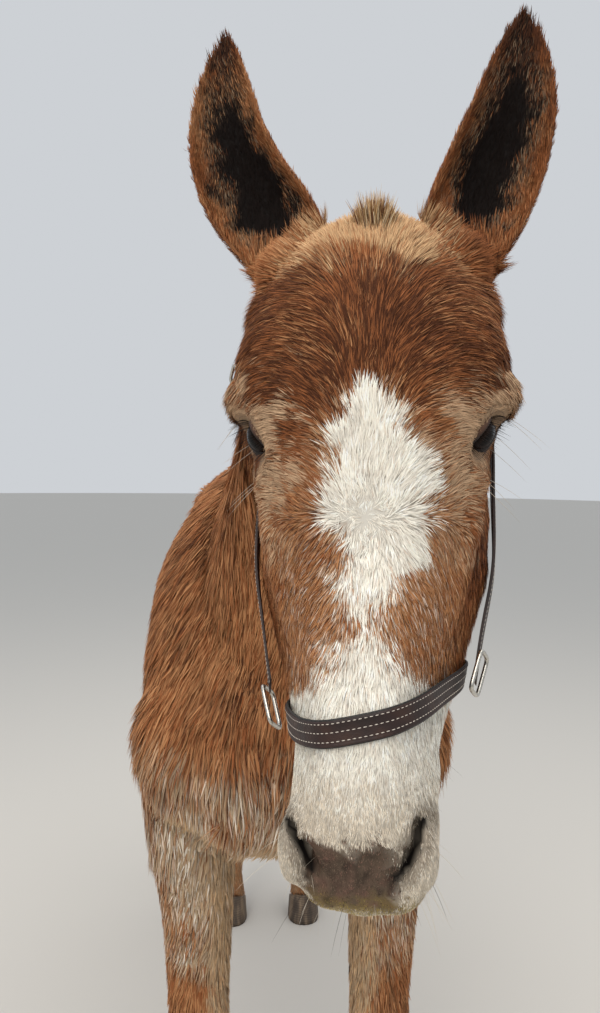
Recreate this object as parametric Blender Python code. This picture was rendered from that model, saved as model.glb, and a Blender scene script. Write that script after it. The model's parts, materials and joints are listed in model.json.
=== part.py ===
"""A life-size mule in a leather halter, standing square, its head turned a little to its right.

Metres, +Z up. The mule faces -Y and its left side is +X. Everything is built with the middle of its forefeet
over the origin, and moved at the end so that the origin lies under the middle of the whole model's box.
"""

import math
import random
from dataclasses import dataclass

import bmesh
import bpy
import numpy as np
from mathutils import Matrix, Vector, geometry
from mathutils.bvhtree import BVHTree

# Driving dimensions: length of the head, size of an eyeball and its lids, and the clearance between solids.
HEAD_LENGTH = 0.56
EYE_RADIUS = 0.0205
LID = 0.0045
EYE_SEGMENTS = 14
GAP = 0.0004

# How the head is carried: the top of the face between the ears, and the head's turns in degrees.
HEAD_AT = Vector((0.025, -0.553, 1.588))
HEAD_NOSE_FORWARD = 13.5
HEAD_TURN = -13.0
HEAD_ROLL = -1.3

# Voxel sizes of the two skins that the lofted shapes are melted into.
FINE_SKIN = 0.0042
BODY_SKIN = 0.0095


@dataclass
class Ring:
    """One cross-section: its upper or front point, its lower or back point, and its half width across."""

    front: Vector
    back: Vector
    half_width: float
    widest: float = 0.5
    squareness: float = 2.0


@dataclass
class HeadRing:
    """One cross-section of the head: along the face, forward of it, and out to the side."""

    along: float
    front: float
    bridge_half: float
    bridge_drop: float
    side_half: float
    side_at: float
    jaw_half: float
    jaw_at: float
    under: float


def clear_scene():
    """Removes whatever the new scene came with."""
    for thing in list(bpy.data.objects):
        bpy.data.objects.remove(thing)


def material(name, colour, roughness, metallic=0.0):
    """A Principled material in one plain colour."""
    made = bpy.data.materials.new(name)
    made.use_nodes = True
    shader = made.node_tree.nodes["Principled BSDF"]
    shader.inputs["Base Color"].default_value = (*colour, 1.0)
    shader.inputs["Roughness"].default_value = roughness
    shader.inputs["Metallic"].default_value = metallic
    return made


def add_object(name, bm):
    """Turns a bmesh into a linked object and frees the bmesh."""
    mesh = bpy.data.meshes.new(name)
    bm.to_mesh(mesh)
    bm.free()
    made = bpy.data.objects.new(name, mesh)
    bpy.context.scene.collection.objects.link(made)
    return made


def evaluated_mesh(thing):
    """A bmesh of the object with its modifiers applied, in world space."""
    graph = bpy.context.evaluated_depsgraph_get()
    seen = thing.evaluated_get(graph)
    bm = bmesh.new()
    bm.from_mesh(seen.to_mesh())
    seen.to_mesh_clear()
    bm.transform(thing.matrix_world)
    return bm


def drop(*things):
    """Removes helper objects."""
    for thing in things:
        bpy.data.objects.remove(thing)


def monotone_curve(at, values, where):
    """Smooth values at the given places, through the stated ones, without overshooting between them."""
    at = np.asarray(at, float)
    values = np.asarray(values, float)
    step = np.diff(at)[:, None]
    slope = np.diff(values, axis=0) / step
    tangent = np.zeros_like(values)
    tangent[0] = slope[0]
    tangent[-1] = slope[-1]
    same_way = slope[:-1] * slope[1:] > 0
    weight_a = 2 * step[1:] + step[:-1]
    weight_b = step[1:] + 2 * step[:-1]
    with np.errstate(divide="ignore", invalid="ignore"):
        mean = (weight_a + weight_b) / (weight_a / slope[:-1] + weight_b / slope[1:])
    tangent[1:-1] = np.where(same_way, mean, 0.0)
    k = np.clip(np.searchsorted(at, where, side="right") - 1, 0, len(at) - 2)
    t = ((where - at[k]) / (at[k + 1] - at[k]))[:, None]
    width = step[k]
    return (
        values[k] * (1 + 2 * t) * (1 - t) ** 2
        + tangent[k] * width * t * (1 - t) ** 2
        + values[k + 1] * t**2 * (3 - 2 * t)
        + tangent[k + 1] * width * t**2 * (t - 1)
    )


def wrapped_grid(rings, closed=False):
    """A tube through rings of points: a grid wrapped round and welded, its ends capped or joined."""
    rings = [*rings, rings[0]] if closed else rings
    count, around = len(rings), len(rings[0])
    bm = bmesh.new()
    sheet = bmesh.ops.create_grid(bm, x_segments=around, y_segments=count - 1, size=1.0)
    for vert in sheet["verts"]:
        column = round((vert.co.x + 1) / 2 * around) % around
        row = round((vert.co.y + 1) / 2 * (count - 1))
        vert.co = rings[row][column]
    bmesh.ops.remove_doubles(bm, verts=bm.verts, dist=1e-6)
    ends = [edge for edge in bm.edges if edge.is_boundary]
    bmesh.ops.holes_fill(bm, edges=ends, sides=0)
    bmesh.ops.triangulate(bm, faces=[face for face in bm.faces if len(face.verts) > 4])
    bmesh.ops.recalc_face_normals(bm, faces=bm.faces)
    return bm


def oval(ring, side, around):
    """Points round one Ring. The widest level splits it into two half ovals of the stated squareness."""
    axis = ring.front - ring.back
    middle = ring.back + axis * ring.widest
    points = []
    for k in range(around):
        angle = 2 * math.pi * k / around
        across, up = math.cos(angle), math.sin(angle)
        power = 2 / ring.squareness
        reach = (1 - ring.widest) if up > 0 else ring.widest
        out = math.copysign(abs(across) ** power, across) * ring.half_width
        rise = math.copysign(abs(up) ** power, up) * reach
        points.append(middle + side * out + axis * rise)
    return points


def lofted(name, stations, side=Vector((1, 0, 0)), steps=4, around=28):
    """A closed body through a few Rings, smoothed between them."""
    rows = [(*r.front, *r.back, r.half_width, r.widest, r.squareness) for r in stations]
    at = np.arange(len(rows), dtype=float)
    where = np.linspace(0, len(rows) - 1, (len(rows) - 1) * steps + 1)
    rings = []
    for row in monotone_curve(at, rows, where):
        ring = Ring(Vector(row[:3]), Vector(row[3:6]), *row[6:])
        rings.append(oval(ring, side, around))
    return add_object(name, wrapped_grid(rings))


def ellipsoid(name, centre, radii, turn=Matrix.Identity(3), segments=20):
    """An ellipsoid with its own turn, for a muscle, a bony ridge or a cutter."""
    bm = bmesh.new()
    bmesh.ops.create_uvsphere(bm, u_segments=segments, v_segments=segments // 2 + 2, radius=1.0)
    bm.transform(Matrix.Translation(centre) @ turn.to_4x4() @ Matrix.Diagonal((*radii, 1)))
    return add_object(name, bm)


def softened(thing, rounds):
    """Smooths the object without shrinking it: each round pulls its points in, then out again."""
    mesh = thing.data
    place = np.empty(len(mesh.vertices) * 3)
    mesh.vertices.foreach_get("co", place)
    place = place.reshape(-1, 3)
    ends = np.empty(len(mesh.edges) * 2, dtype=int)
    mesh.edges.foreach_get("vertices", ends)
    one, two = ends.reshape(-1, 2).T
    degree = np.bincount(ends, minlength=len(place))[:, None]
    for factor in (0.5, -0.515) * rounds:
        total = [
            np.bincount(one, place[two, axis], len(place)) + np.bincount(two, place[one, axis], len(place))
            for axis in range(3)
        ]
        place += factor * (np.array(total).T / degree - place)
    mesh.vertices.foreach_set("co", place.ravel())
    mesh.update()
    return thing


def melted(name, pieces, voxel, rounds):
    """One smooth skin over overlapping bodies: they are joined, remeshed in voxels and smoothed."""
    bm = bmesh.new()
    for piece in pieces:
        part = evaluated_mesh(piece)
        scratch = bpy.data.meshes.new("scratch")
        part.to_mesh(scratch)
        part.free()
        bm.from_mesh(scratch)
        bpy.data.meshes.remove(scratch)
    made = add_object(name, bm)
    remesh = made.modifiers.new("skin", "REMESH")
    remesh.mode = "VOXEL"
    remesh.voxel_size = voxel
    return softened(applied(made), rounds)


def thinned(thing, triangles):
    """The object with its triangles merged down to about the number asked for."""
    thing.data.calc_loop_triangles()
    reduce = thing.modifiers.new("thin", "DECIMATE")
    reduce.ratio = min(1.0, triangles / max(1, len(thing.data.loop_triangles)))
    reduce.use_collapse_triangulate = True
    return applied(thing)


def applied(thing):
    """The object with its modifiers applied and cleared."""
    bpy.context.view_layer.update()
    bm = evaluated_mesh(thing)
    bm.to_mesh(thing.data)
    bm.free()
    thing.modifiers.clear()
    return thing


def largest_shell(thing):
    """Keeps only the largest closed surface of the object, which drops scraps and sealed hollows."""
    bm = bmesh.new()
    bm.from_mesh(thing.data)
    left = set(bm.faces)
    shells = []
    while left:
        seed = left.pop()
        shell, edge_front = {seed}, [seed]
        while edge_front:
            face = edge_front.pop()
            for edge in face.edges:
                for other in edge.link_faces:
                    if other in left:
                        left.remove(other)
                        shell.add(other)
                        edge_front.append(other)
        shells.append(shell)
    shells.sort(key=len)
    scraps = [face for shell in shells[:-1] for face in shell]
    bmesh.ops.delete(bm, geom=scraps, context="FACES")
    bm.to_mesh(thing.data)
    bm.free()
    return thing


def combine(thing, others, operation, solver="EXACT"):
    """Joins, cuts or intersects the object with the others by one Boolean, and removes the others."""
    group = bpy.data.collections.new("operands")
    bpy.context.scene.collection.children.link(group)
    for other in others:
        group.objects.link(other)
    boolean = thing.modifiers.new("combine", "BOOLEAN")
    boolean.operation = operation
    boolean.operand_type = "COLLECTION"
    boolean.collection = group
    boolean.solver = solver
    applied(thing)
    drop(*others)
    bpy.data.collections.remove(group)
    return thing


def cut_off(thing, point, normal):
    """Keeps the side of the plane that its normal points away from, with a flat face there."""
    bm = bmesh.new()
    bm.from_mesh(thing.data)
    every = [*bm.verts, *bm.edges, *bm.faces]
    bmesh.ops.bisect_plane(bm, geom=every, plane_co=point, plane_no=normal, clear_outer=True)
    ends = [edge for edge in bm.edges if edge.is_boundary]
    bmesh.ops.holes_fill(bm, edges=ends, sides=0)
    bmesh.ops.triangulate(bm, faces=[face for face in bm.faces if len(face.verts) > 4])
    bmesh.ops.recalc_face_normals(bm, faces=bm.faces)
    bm.to_mesh(thing.data)
    bm.free()
    return thing


def copied(thing, name):
    """A copy of the object with its own mesh."""
    made = bpy.data.objects.new(name, thing.data.copy())
    bpy.context.scene.collection.objects.link(made)
    return made


def finish(thing, finish_material, smooth_angle=50):
    """Gives a node its material and smooth shading."""
    thing.data.materials.clear()
    thing.data.materials.append(finish_material)
    thing.data.shade_smooth()
    thing.data.set_sharp_from_angle(angle=math.radians(smooth_angle))
    return thing


def head_matrix():
    """Carries the head's own axes (side, -forward, -along) into the world."""
    turn = (
        Matrix.Rotation(math.radians(HEAD_TURN), 4, "Z")
        @ Matrix.Rotation(math.radians(-HEAD_NOSE_FORWARD), 4, "X")
        @ Matrix.Rotation(math.radians(HEAD_ROLL), 4, "Y")
    )
    return Matrix.Translation(HEAD_AT) @ turn


def head_point(along, forward, side):
    """A point of the head in the world, from its place along, forward of and beside the face."""
    return head_matrix() @ Vector((side, -forward, -along))


def head_direction(along, forward, side):
    """A direction of the head in the world."""
    return (head_matrix().to_3x3() @ Vector((side, -forward, -along))).normalized()


# From the poll to the lips. Sizes are shares of the head's length.
HEAD_RINGS = [
    HeadRing(-0.015, -0.115, 0.055, 0.020, 0.080, -0.190, 0.065, -0.290, -0.330),
    HeadRing(0.020, -0.082, 0.070, 0.018, 0.112, -0.175, 0.090, -0.330, -0.390),
    HeadRing(0.070, -0.048, 0.092, 0.016, 0.145, -0.160, 0.112, -0.360, -0.430),
    HeadRing(0.150, -0.014, 0.115, 0.018, 0.190, -0.138, 0.136, -0.375, -0.455),
    HeadRing(0.230, 0.000, 0.134, 0.022, 0.206, -0.128, 0.152, -0.385, -0.475),
    HeadRing(0.290, 0.004, 0.128, 0.024, 0.196, -0.128, 0.160, -0.390, -0.480),
    HeadRing(0.370, 0.003, 0.108, 0.026, 0.172, -0.145, 0.166, -0.375, -0.462),
    HeadRing(0.450, 0.002, 0.090, 0.026, 0.168, -0.165, 0.166, -0.350, -0.435),
    HeadRing(0.520, 0.002, 0.078, 0.024, 0.160, -0.165, 0.172, -0.315, -0.400),
    HeadRing(0.580, 0.003, 0.068, 0.022, 0.142, -0.160, 0.158, -0.285, -0.365),
    HeadRing(0.640, 0.002, 0.060, 0.020, 0.120, -0.150, 0.142, -0.255, -0.330),
    HeadRing(0.700, 0.001, 0.055, 0.018, 0.103, -0.135, 0.122, -0.232, -0.298),
    HeadRing(0.760, -0.001, 0.052, 0.018, 0.095, -0.120, 0.100, -0.212, -0.272),
    HeadRing(0.830, -0.005, 0.054, 0.020, 0.098, -0.108, 0.076, -0.205, -0.252),
    HeadRing(0.885, -0.014, 0.055, 0.022, 0.102, -0.105, 0.070, -0.198, -0.240),
    HeadRing(0.930, -0.034, 0.050, 0.024, 0.092, -0.108, 0.062, -0.190, -0.225),
    HeadRing(0.965, -0.060, 0.040, 0.020, 0.072, -0.116, 0.050, -0.178, -0.205),
    HeadRing(0.992, -0.095, 0.024, 0.014, 0.042, -0.128, 0.030, -0.160, -0.178),
]


def head_section(row, around):
    """Points round one head section: a smooth closed curve through its bridge, sides and jaw."""
    along, front, bridge_half, bridge_drop, side_half, side_at, jaw_half, jaw_at, under = row
    half = [
        (0.0, front),
        (bridge_half, front - bridge_drop),
        (side_half, side_at),
        (jaw_half, jaw_at),
        (0.0, under),
    ]
    loop = half + [(-w, v) for w, v in half[-2:0:-1]]
    count = len(loop)
    points = []
    for k in range(around):
        place = count * k / around
        i, t = int(place), place - int(place)
        p = [Vector(loop[(i + j) % count]) for j in (-1, 0, 1, 2)]
        spot = 0.5 * (
            2 * p[1]
            + (p[2] - p[0]) * t
            + (2 * p[0] - 5 * p[1] + 4 * p[2] - p[3]) * t**2
            + (3 * p[1] - p[0] - 3 * p[2] + p[3]) * t**3
        )
        points.append(head_point(along * HEAD_LENGTH, spot.y * HEAD_LENGTH, spot.x * HEAD_LENGTH))
    return points


def head_loft():
    """The head's main form from poll to lips."""
    rows = [tuple(vars(ring).values()) for ring in HEAD_RINGS]
    at = [row[0] for row in rows]
    where = np.linspace(at[0], at[-1], 60)
    rings = [head_section(row, 40) for row in monotone_curve(at, rows, where)]
    return add_object("head_loft", wrapped_grid(rings))


def head_turned(lean=0.0, swing=0.0):
    """The head's own turn, leant about its forward axis and swung about its length, in degrees."""
    lean_turn = Matrix.Rotation(math.radians(lean), 3, "Y")
    return head_matrix().to_3x3() @ Matrix.Rotation(math.radians(swing), 3, "Z") @ lean_turn


def head_blob(along, forward, side, radii, lean=0.0, swing=0.0):
    """An ellipsoid on the head. Radii run to the side, forward and along."""
    return ellipsoid("blob", head_point(along, forward, side), radii, head_turned(lean, swing))


def head_features():
    """Brows, lids, cheek muscles, facial crests, nostril wings, lips and chin."""
    made = []
    for left in (-1, 1):
        made.append(head_blob(0.148, -0.068, left * 0.080, (0.044, 0.036, 0.036), lean=left * 14))
        made.append(head_blob(0.105, -0.082, left * 0.068, (0.040, 0.046, 0.066), lean=left * 12))
        made.append(head_blob(0.240, -0.158, left * 0.058, (0.047, 0.096, 0.110)))
        made.append(head_blob(0.290, -0.080, left * 0.058, (0.028, 0.034, 0.105), lean=left * 14))
        made.append(head_blob(0.215, -0.080, left * 0.072, (0.028, 0.042, 0.050), lean=left * 8))
        wing_out = 0.0400 if left > 0 else 0.0455
        made.append(head_blob(0.502, -0.046, left * wing_out, (0.0165, 0.026, 0.032), lean=left * -6))
        made.append(head_blob(0.528, -0.066, left * 0.022, (0.028, 0.034, 0.026)))
        made.append(head_blob(0.455, -0.090, left * 0.038, (0.020, 0.036, 0.055)))
        made.append(ellipsoid("lids", eye_centre(left), [EYE_RADIUS + LID] * 3))
        made.append(head_blob(0.046, -0.082, left * 0.062, (0.036, 0.036, 0.040), lean=left * 30))
    made.append(head_blob(0.505, -0.120, 0.0, (0.034, 0.026, 0.036)))
    made.append(head_blob(0.538, -0.102, 0.0, (0.032, 0.024, 0.020)))
    made.append(head_blob(0.052, -0.062, 0.0, (0.050, 0.030, 0.050)))
    return made


def eye_centre(left):
    """The middle of an eyeball."""
    return head_point(0.184, -0.061, left * 0.081)


# Each ear's line from inside the head to its tip: along the face, forward and out to the side.
EAR_LINES = {
    1: [
        (0.058, -0.078, 0.050),
        (0.020, -0.078, 0.073),
        (-0.029, -0.078, 0.095),
        (-0.080, -0.078, 0.115),
        (-0.128, -0.077, 0.129),
        (-0.177, -0.077, 0.136),
        (-0.219, -0.076, 0.138),
    ],
    -1: [
        (0.058, -0.078, -0.045),
        (0.019, -0.078, -0.067),
        (-0.019, -0.079, -0.092),
        (-0.068, -0.079, -0.124),
        (-0.126, -0.078, -0.143),
        (-0.174, -0.077, -0.147),
        (-0.224, -0.075, -0.143),
    ],
}

# The cup of an ear from its root to its tip: share of the length, half width, depth behind its line,
# depth of the hollow behind its line, and how far its rims curl round in degrees.
EAR_CUP = [
    (0.00, 0.030, 0.026, -0.014, 96),
    (0.14, 0.036, 0.031, -0.010, 100),
    (0.25, 0.0425, 0.033, 0.008, 104),
    (0.36, 0.0455, 0.033, 0.022, 104),
    (0.50, 0.0445, 0.029, 0.022, 100),
    (0.64, 0.0405, 0.024, 0.0175, 94),
    (0.78, 0.0335, 0.018, 0.0125, 88),
    (0.89, 0.0230, 0.012, 0.0075, 84),
    (0.96, 0.0130, 0.007, 0.0040, 80),
    (1.00, 0.0030, 0.003, 0.0010, 80),
]
EAR_WALL = 0.0055
EAR_OUTWARD = 0.22
EAR_STEPS = 17


def ear_line(left):
    """Points along an ear's middle, close together."""
    stated = [head_point(*place) for place in EAR_LINES[left]]
    lengths = np.cumsum([0, *[(b - a).length for a, b in zip(stated, stated[1:])]])
    shares = lengths / lengths[-1]
    where = np.linspace(0, 1, EAR_STEPS)
    return [Vector(row) for row in monotone_curve(shares, [list(p) for p in stated], where)], where


def ear_loft(left):
    """An ear: a leaf-shaped cup open to the front, solid at its root."""
    line, where = ear_line(left)
    cup = monotone_curve([row[0] for row in EAR_CUP], [row[1:] for row in EAR_CUP], where)
    opening = head_direction(0.0, 1.0, left * EAR_OUTWARD)
    rings = []
    for k, (half, depth, hollow, curl) in enumerate(cup):
        ahead = (line[min(k + 1, EAR_STEPS - 1)] - line[max(k - 1, 0)]).normalized()
        front = (opening - ahead * opening.dot(ahead)).normalized()
        across = ahead.cross(front)
        turns = np.radians(np.linspace(-curl, curl, 9))
        wall = min(EAR_WALL, half * 0.45)
        outside = [line[k] + across * (half * math.sin(a)) - front * (depth * math.cos(a)) for a in turns]
        inside = [
            line[k] + across * ((half - wall) * math.sin(a)) - front * (hollow * math.cos(a))
            for a in turns[::-1]
        ]
        rings.append(outside + inside)
    return add_object("ear_loft", wrapped_grid(rings))


def box_from(name, origin, out, forward, low, high):
    """A box beyond the plane through the origin, with its own out and forward axes."""
    out = out.normalized()
    forward = (forward - out * forward.dot(out)).normalized()
    side = forward.cross(out)
    axes = Matrix((side, forward, out)).transposed()
    bm = bmesh.new()
    bmesh.ops.create_cube(bm, size=1.0)
    middle = (Vector(low) + Vector(high)) / 2
    size = Vector(high) - Vector(low)
    bm.transform(
        Matrix.Translation(origin) @ axes.to_4x4() @ Matrix.Translation(middle) @ Matrix.Diagonal((*size, 1))
    )
    return add_object(name, bm)


def ear_box(left, clearance=0.0):
    """The space above an ear's seat, wide enough for the ear and clear of the poll."""
    root = head_point(0.008, -0.078, left * 0.072)
    out = head_direction(-0.060, 0.0, left * 0.040)
    low = (-0.075, -0.056, clearance)
    high = (0.075, 0.056, 0.35)
    return box_from("ear_box", root, out, head_direction(0, 1, 0), low, high)


def wedge(name, across, lengthways, low, front_top, back_top):
    """A block with upright sides and a top that slopes from its front edge to its back edge."""
    bm = bmesh.new()
    bmesh.ops.create_cube(bm, size=1.0)
    for vert in bm.verts:
        x, y, z = vert.co
        top = front_top if y < 0 else back_top
        vert.co = Vector((across[x > 0], lengthways[y > 0], top if z > 0 else low))
    return add_object(name, bm)


# The neck from the shoulders to behind the ears: crest point, throat point, and half width.
NECK_RINGS = [
    Ring(Vector((0.0, 0.260, 1.365)), Vector((0.0, -0.060, 0.860)), 0.140, 0.45),
    Ring(Vector((0.0, 0.120, 1.398)), Vector((0.0, -0.165, 0.960)), 0.138, 0.42),
    Ring(Vector((0.0, -0.020, 1.408)), Vector((0.0, -0.200, 1.060)), 0.122, 0.42),
    Ring(Vector((0.002, -0.140, 1.440)), Vector((0.004, -0.222, 1.150)), 0.104, 0.42),
    Ring(Vector((0.006, -0.260, 1.488)), Vector((0.012, -0.262, 1.242)), 0.093, 0.42),
    Ring(Vector((0.014, -0.370, 1.536)), Vector((0.024, -0.325, 1.320)), 0.088, 0.45),
    Ring(Vector((0.022, -0.455, 1.566)), Vector((0.034, -0.395, 1.370)), 0.084, 0.50),
    Ring(Vector((0.026, -0.505, 1.566)), Vector((0.040, -0.440, 1.405)), 0.072, 0.50),
]

# The trunk from breast to buttocks: y, top, bottom, half width, share of the height where it is
# widest, and squareness.
TRUNK = [
    (-0.205, 1.060, 0.935, 0.070, 0.50, 2.0),
    (-0.185, 1.130, 0.880, 0.135, 0.50, 2.1),
    (-0.130, 1.230, 0.820, 0.192, 0.45, 2.2),
    (-0.050, 1.330, 0.775, 0.218, 0.42, 2.2),
    (0.060, 1.392, 0.748, 0.226, 0.42, 2.0),
    (0.150, 1.400, 0.735, 0.234, 0.42, 1.9),
    (0.270, 1.372, 0.725, 0.250, 0.44, 2.0),
    (0.420, 1.335, 0.722, 0.268, 0.46, 2.1),
    (0.580, 1.322, 0.735, 0.276, 0.48, 2.1),
    (0.740, 1.335, 0.775, 0.264, 0.52, 2.1),
    (0.880, 1.362, 0.835, 0.236, 0.58, 2.1),
    (0.980, 1.380, 0.880, 0.226, 0.60, 2.0),
    (1.080, 1.366, 0.905, 0.218, 0.58, 1.95),
    (1.170, 1.318, 0.930, 0.192, 0.52, 1.95),
    (1.235, 1.245, 0.960, 0.145, 0.50, 2.0),
    (1.268, 1.170, 1.000, 0.085, 0.50, 2.0),
]

# A foreleg from shoulder to pastern: height, front, back, the middle's place out from the midline,
# and half width.
FORELEG = [
    (1.060, -0.150, 0.110, 0.120, 0.085),
    (0.960, -0.155, 0.120, 0.138, 0.086),
    (0.870, -0.105, 0.118, 0.148, 0.078),
    (0.790, -0.076, 0.104, 0.149, 0.071),
    (0.720, -0.060, 0.080, 0.145, 0.062),
    (0.650, -0.052, 0.058, 0.141, 0.054),
    (0.570, -0.049, 0.046, 0.139, 0.049),
    (0.505, -0.052, 0.042, 0.138, 0.047),
    (0.455, -0.053, 0.045, 0.138, 0.048),
    (0.410, -0.044, 0.044, 0.138, 0.042),
    (0.350, -0.032, 0.041, 0.138, 0.034),
    (0.260, -0.030, 0.039, 0.138, 0.032),
    (0.210, -0.035, 0.044, 0.138, 0.036),
    (0.180, -0.042, 0.044, 0.138, 0.040),
    (0.150, -0.048, 0.031, 0.138, 0.036),
    (0.120, -0.058, 0.019, 0.138, 0.034),
    (0.090, -0.073, 0.014, 0.138, 0.039),
    (0.060, -0.084, 0.009, 0.138, 0.043),
    (0.020, -0.090, 0.005, 0.138, 0.044),
]

# A hind leg from hip to pastern, in the same terms.
HIND_LEG = [
    (1.220, 0.960, 1.200, 0.120, 0.075),
    (1.120, 0.860, 1.252, 0.130, 0.090),
    (1.000, 0.830, 1.255, 0.136, 0.096),
    (0.900, 0.828, 1.228, 0.140, 0.092),
    (0.810, 0.850, 1.182, 0.138, 0.079),
    (0.730, 0.898, 1.152, 0.132, 0.065),
    (0.650, 0.960, 1.148, 0.125, 0.052),
    (0.590, 1.016, 1.168, 0.120, 0.043),
    (0.540, 1.054, 1.188, 0.118, 0.040),
    (0.495, 1.066, 1.188, 0.117, 0.042),
    (0.450, 1.070, 1.174, 0.116, 0.043),
    (0.400, 1.076, 1.163, 0.114, 0.037),
    (0.340, 1.081, 1.156, 0.112, 0.032),
    (0.260, 1.080, 1.151, 0.110, 0.030),
    (0.210, 1.074, 1.156, 0.109, 0.035),
    (0.180, 1.066, 1.156, 0.108, 0.038),
    (0.150, 1.058, 1.142, 0.108, 0.034),
    (0.120, 1.048, 1.128, 0.108, 0.032),
    (0.090, 1.034, 1.123, 0.108, 0.037),
    (0.060, 1.024, 1.117, 0.108, 0.041),
    (0.020, 1.018, 1.113, 0.108, 0.042),
]

# The tail: where its middle passes, and its half width and half depth there.
TAIL = [
    (1.165, 1.268, 0.040, 0.036),
    (1.215, 1.262, 0.034, 0.031),
    (1.262, 1.238, 0.030, 0.028),
    (1.288, 1.190, 0.031, 0.028),
    (1.298, 1.110, 0.036, 0.029),
    (1.302, 1.000, 0.046, 0.033),
    (1.303, 0.880, 0.055, 0.038),
    (1.302, 0.740, 0.058, 0.040),
    (1.299, 0.610, 0.050, 0.035),
    (1.296, 0.500, 0.034, 0.025),
    (1.294, 0.430, 0.014, 0.011),
]
# Tiers of the tail's locks: upper and lower level, share of the tail's radius, and number.
TAIL_TIERS = [(1.150, 0.560, 0.86, 8), (0.990, 0.450, 0.62, 6)]
TAIL_CORE_END = 0.86
TAIL_ROOT = Vector((0.0, 1.222, 1.259))
TAIL_OUT = Vector((0.0, 0.86, -0.51))


def leg_loft(levels, left, spread=0.0):
    """A leg through its levels, on the left or the right, its lower part spread from under the body."""
    rings = []
    for z, front, back, x, half in levels:
        out = left * (x + spread * min(1.0, max(0.0, (0.95 - z) / 0.30)))
        rings.append(Ring(Vector((out, front, z)), Vector((out, back, z)), half, 0.5, 2.1))
    return lofted("leg", rings, around=20)


def trunk_loft():
    """The trunk from breast to buttocks."""
    rings = [
        Ring(Vector((0, y, top)), Vector((0, y, bottom)), half, widest, square)
        for y, top, bottom, half, widest, square in TRUNK
    ]
    return lofted("trunk", rings, around=36)


def muscles():
    """Shoulder blades, breast, forearms, elbows, haunches and stifles, which swell the plain lofts."""
    made = []
    for left in (-1, 1):
        shoulder = ellipsoid(
            "blade", Vector((left * 0.136, 0.020, 1.110)), (0.066, 0.125, 0.190),
            Matrix.Rotation(math.radians(-24), 3, "X"),
        )
        point = ellipsoid("point", Vector((left * 0.143, -0.100, 0.980)), (0.082, 0.080, 0.115))
        breast = ellipsoid("breast", Vector((left * 0.062, -0.152, 0.965)), (0.070, 0.060, 0.125))
        elbow = ellipsoid("elbow", Vector((left * 0.158, 0.075, 0.850)), (0.048, 0.060, 0.080))
        haunch = ellipsoid("haunch", Vector((left * 0.132, 1.030, 1.110)), (0.092, 0.160, 0.185))
        hip = ellipsoid("hip", Vector((left * 0.155, 0.910, 1.225)), (0.062, 0.085, 0.085))
        stifle = ellipsoid("stifle", Vector((left * 0.152, 0.905, 0.870)), (0.062, 0.076, 0.115))
        hock = ellipsoid("hock", Vector((left * 0.118, 1.176, 0.535)), (0.020, 0.024, 0.045))
        made += [shoulder, point, breast, elbow, haunch, hip, stifle, hock]
    return made


def tail_loft(rows, name):
    """The tail, or its root, through the stated places."""
    rings = []
    for k, (y, z, half, deep) in enumerate(rows):
        before, after = rows[max(k - 1, 0)], rows[min(k + 1, len(rows) - 1)]
        ahead = Vector((0, after[0] - before[0], after[1] - before[1])).normalized()
        normal = Vector((0, -ahead.z, ahead.y))
        centre = Vector((0, y, z))
        rings.append(Ring(centre + normal * deep, centre - normal * deep, half))
    return lofted(name, rings, steps=3, around=12)


def tail_groove(clearance=0.004):
    """The space round the tail beyond its root, which frees it from the buttocks."""
    rows = [(y, z, half + clearance, deep + clearance) for y, z, half, deep in TAIL[:5]]
    return cut_off(tail_loft(rows, "tail_groove"), TAIL_ROOT, -TAIL_OUT)


def foreleg_box(left, clearance=0.0):
    """The space below an elbow, under a face that falls to the back."""
    across = sorted((left * 0.028, left * 0.300))
    return wedge("leg_box", across, (-0.190, 0.155), -0.1, 0.834 - clearance, 0.706 - clearance)


def hind_leg_box(left, clearance=0.0):
    """The space below a stifle."""
    across = sorted((left * 0.018, left * 0.300))
    return wedge("leg_box", across, (0.785, 1.400), -0.1, 0.788 - clearance, 0.850 - clearance)


# How far out the feet stand, with the left forefoot a little wider, and how far back the hind feet are.
FORE_OUT = {1: 0.150, -1: 0.138}
HIND_OUT = {1: 0.108, -1: 0.108}
HIND_BACK = 1.107

# Where the hair stops and horn begins: a plane that slopes down from toe to heel.
CORONET_FRONT = 0.080
CORONET_SLOPE = 0.48
HOOF_TOE = -0.110
HOOF_HEEL = -0.002
HOOF_HALF = 0.047


def coronet_height(forward, lift=0.0):
    """The coronet's height at a distance behind the toe's top."""
    return CORONET_FRONT - CORONET_SLOPE * forward + lift


def hoof(name, x, y, material_used):
    """A narrow upright hoof with a flat sole. Its top is the coronet's sloping plane."""
    top_front, top_back = -0.086, 0.007
    bm_rings = []
    for share in (0.0, 0.06, 0.5, 1.0):
        front = (1 - share) * HOOF_TOE + share * top_front
        back = (1 - share) * HOOF_HEEL + share * top_back
        half = (1 - share) * HOOF_HALF + share * 0.0425
        ring = []
        for k in range(24):
            angle = 2 * math.pi * k / 24
            power = 2 / 2.3
            across = math.copysign(abs(math.cos(angle)) ** power, math.cos(angle)) * half
            deep = math.copysign(abs(math.sin(angle)) ** power, math.sin(angle))
            middle, reach = (front + back) / 2, (back - front) / 2
            place = middle + reach * deep
            top = coronet_height(place - top_front, -GAP)
            ring.append(Vector((x + across, y + place, share * top)))
        bm_rings.append(ring)
    return finish(add_object(name, wrapped_grid(bm_rings)), material_used, 40)


def cut_at_coronet(leg, y):
    """Ends a leg at its coronet."""
    top = Vector((0, y - 0.086, CORONET_FRONT))
    return cut_off(leg, top, Vector((0, -CORONET_SLOPE, -1)))


def eyeball(name, left, material_used):
    """An eyeball in its socket."""
    made = ellipsoid(name, eye_centre(left), [EYE_RADIUS] * 3, segments=EYE_SEGMENTS)
    return finish(made, material_used)


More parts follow.
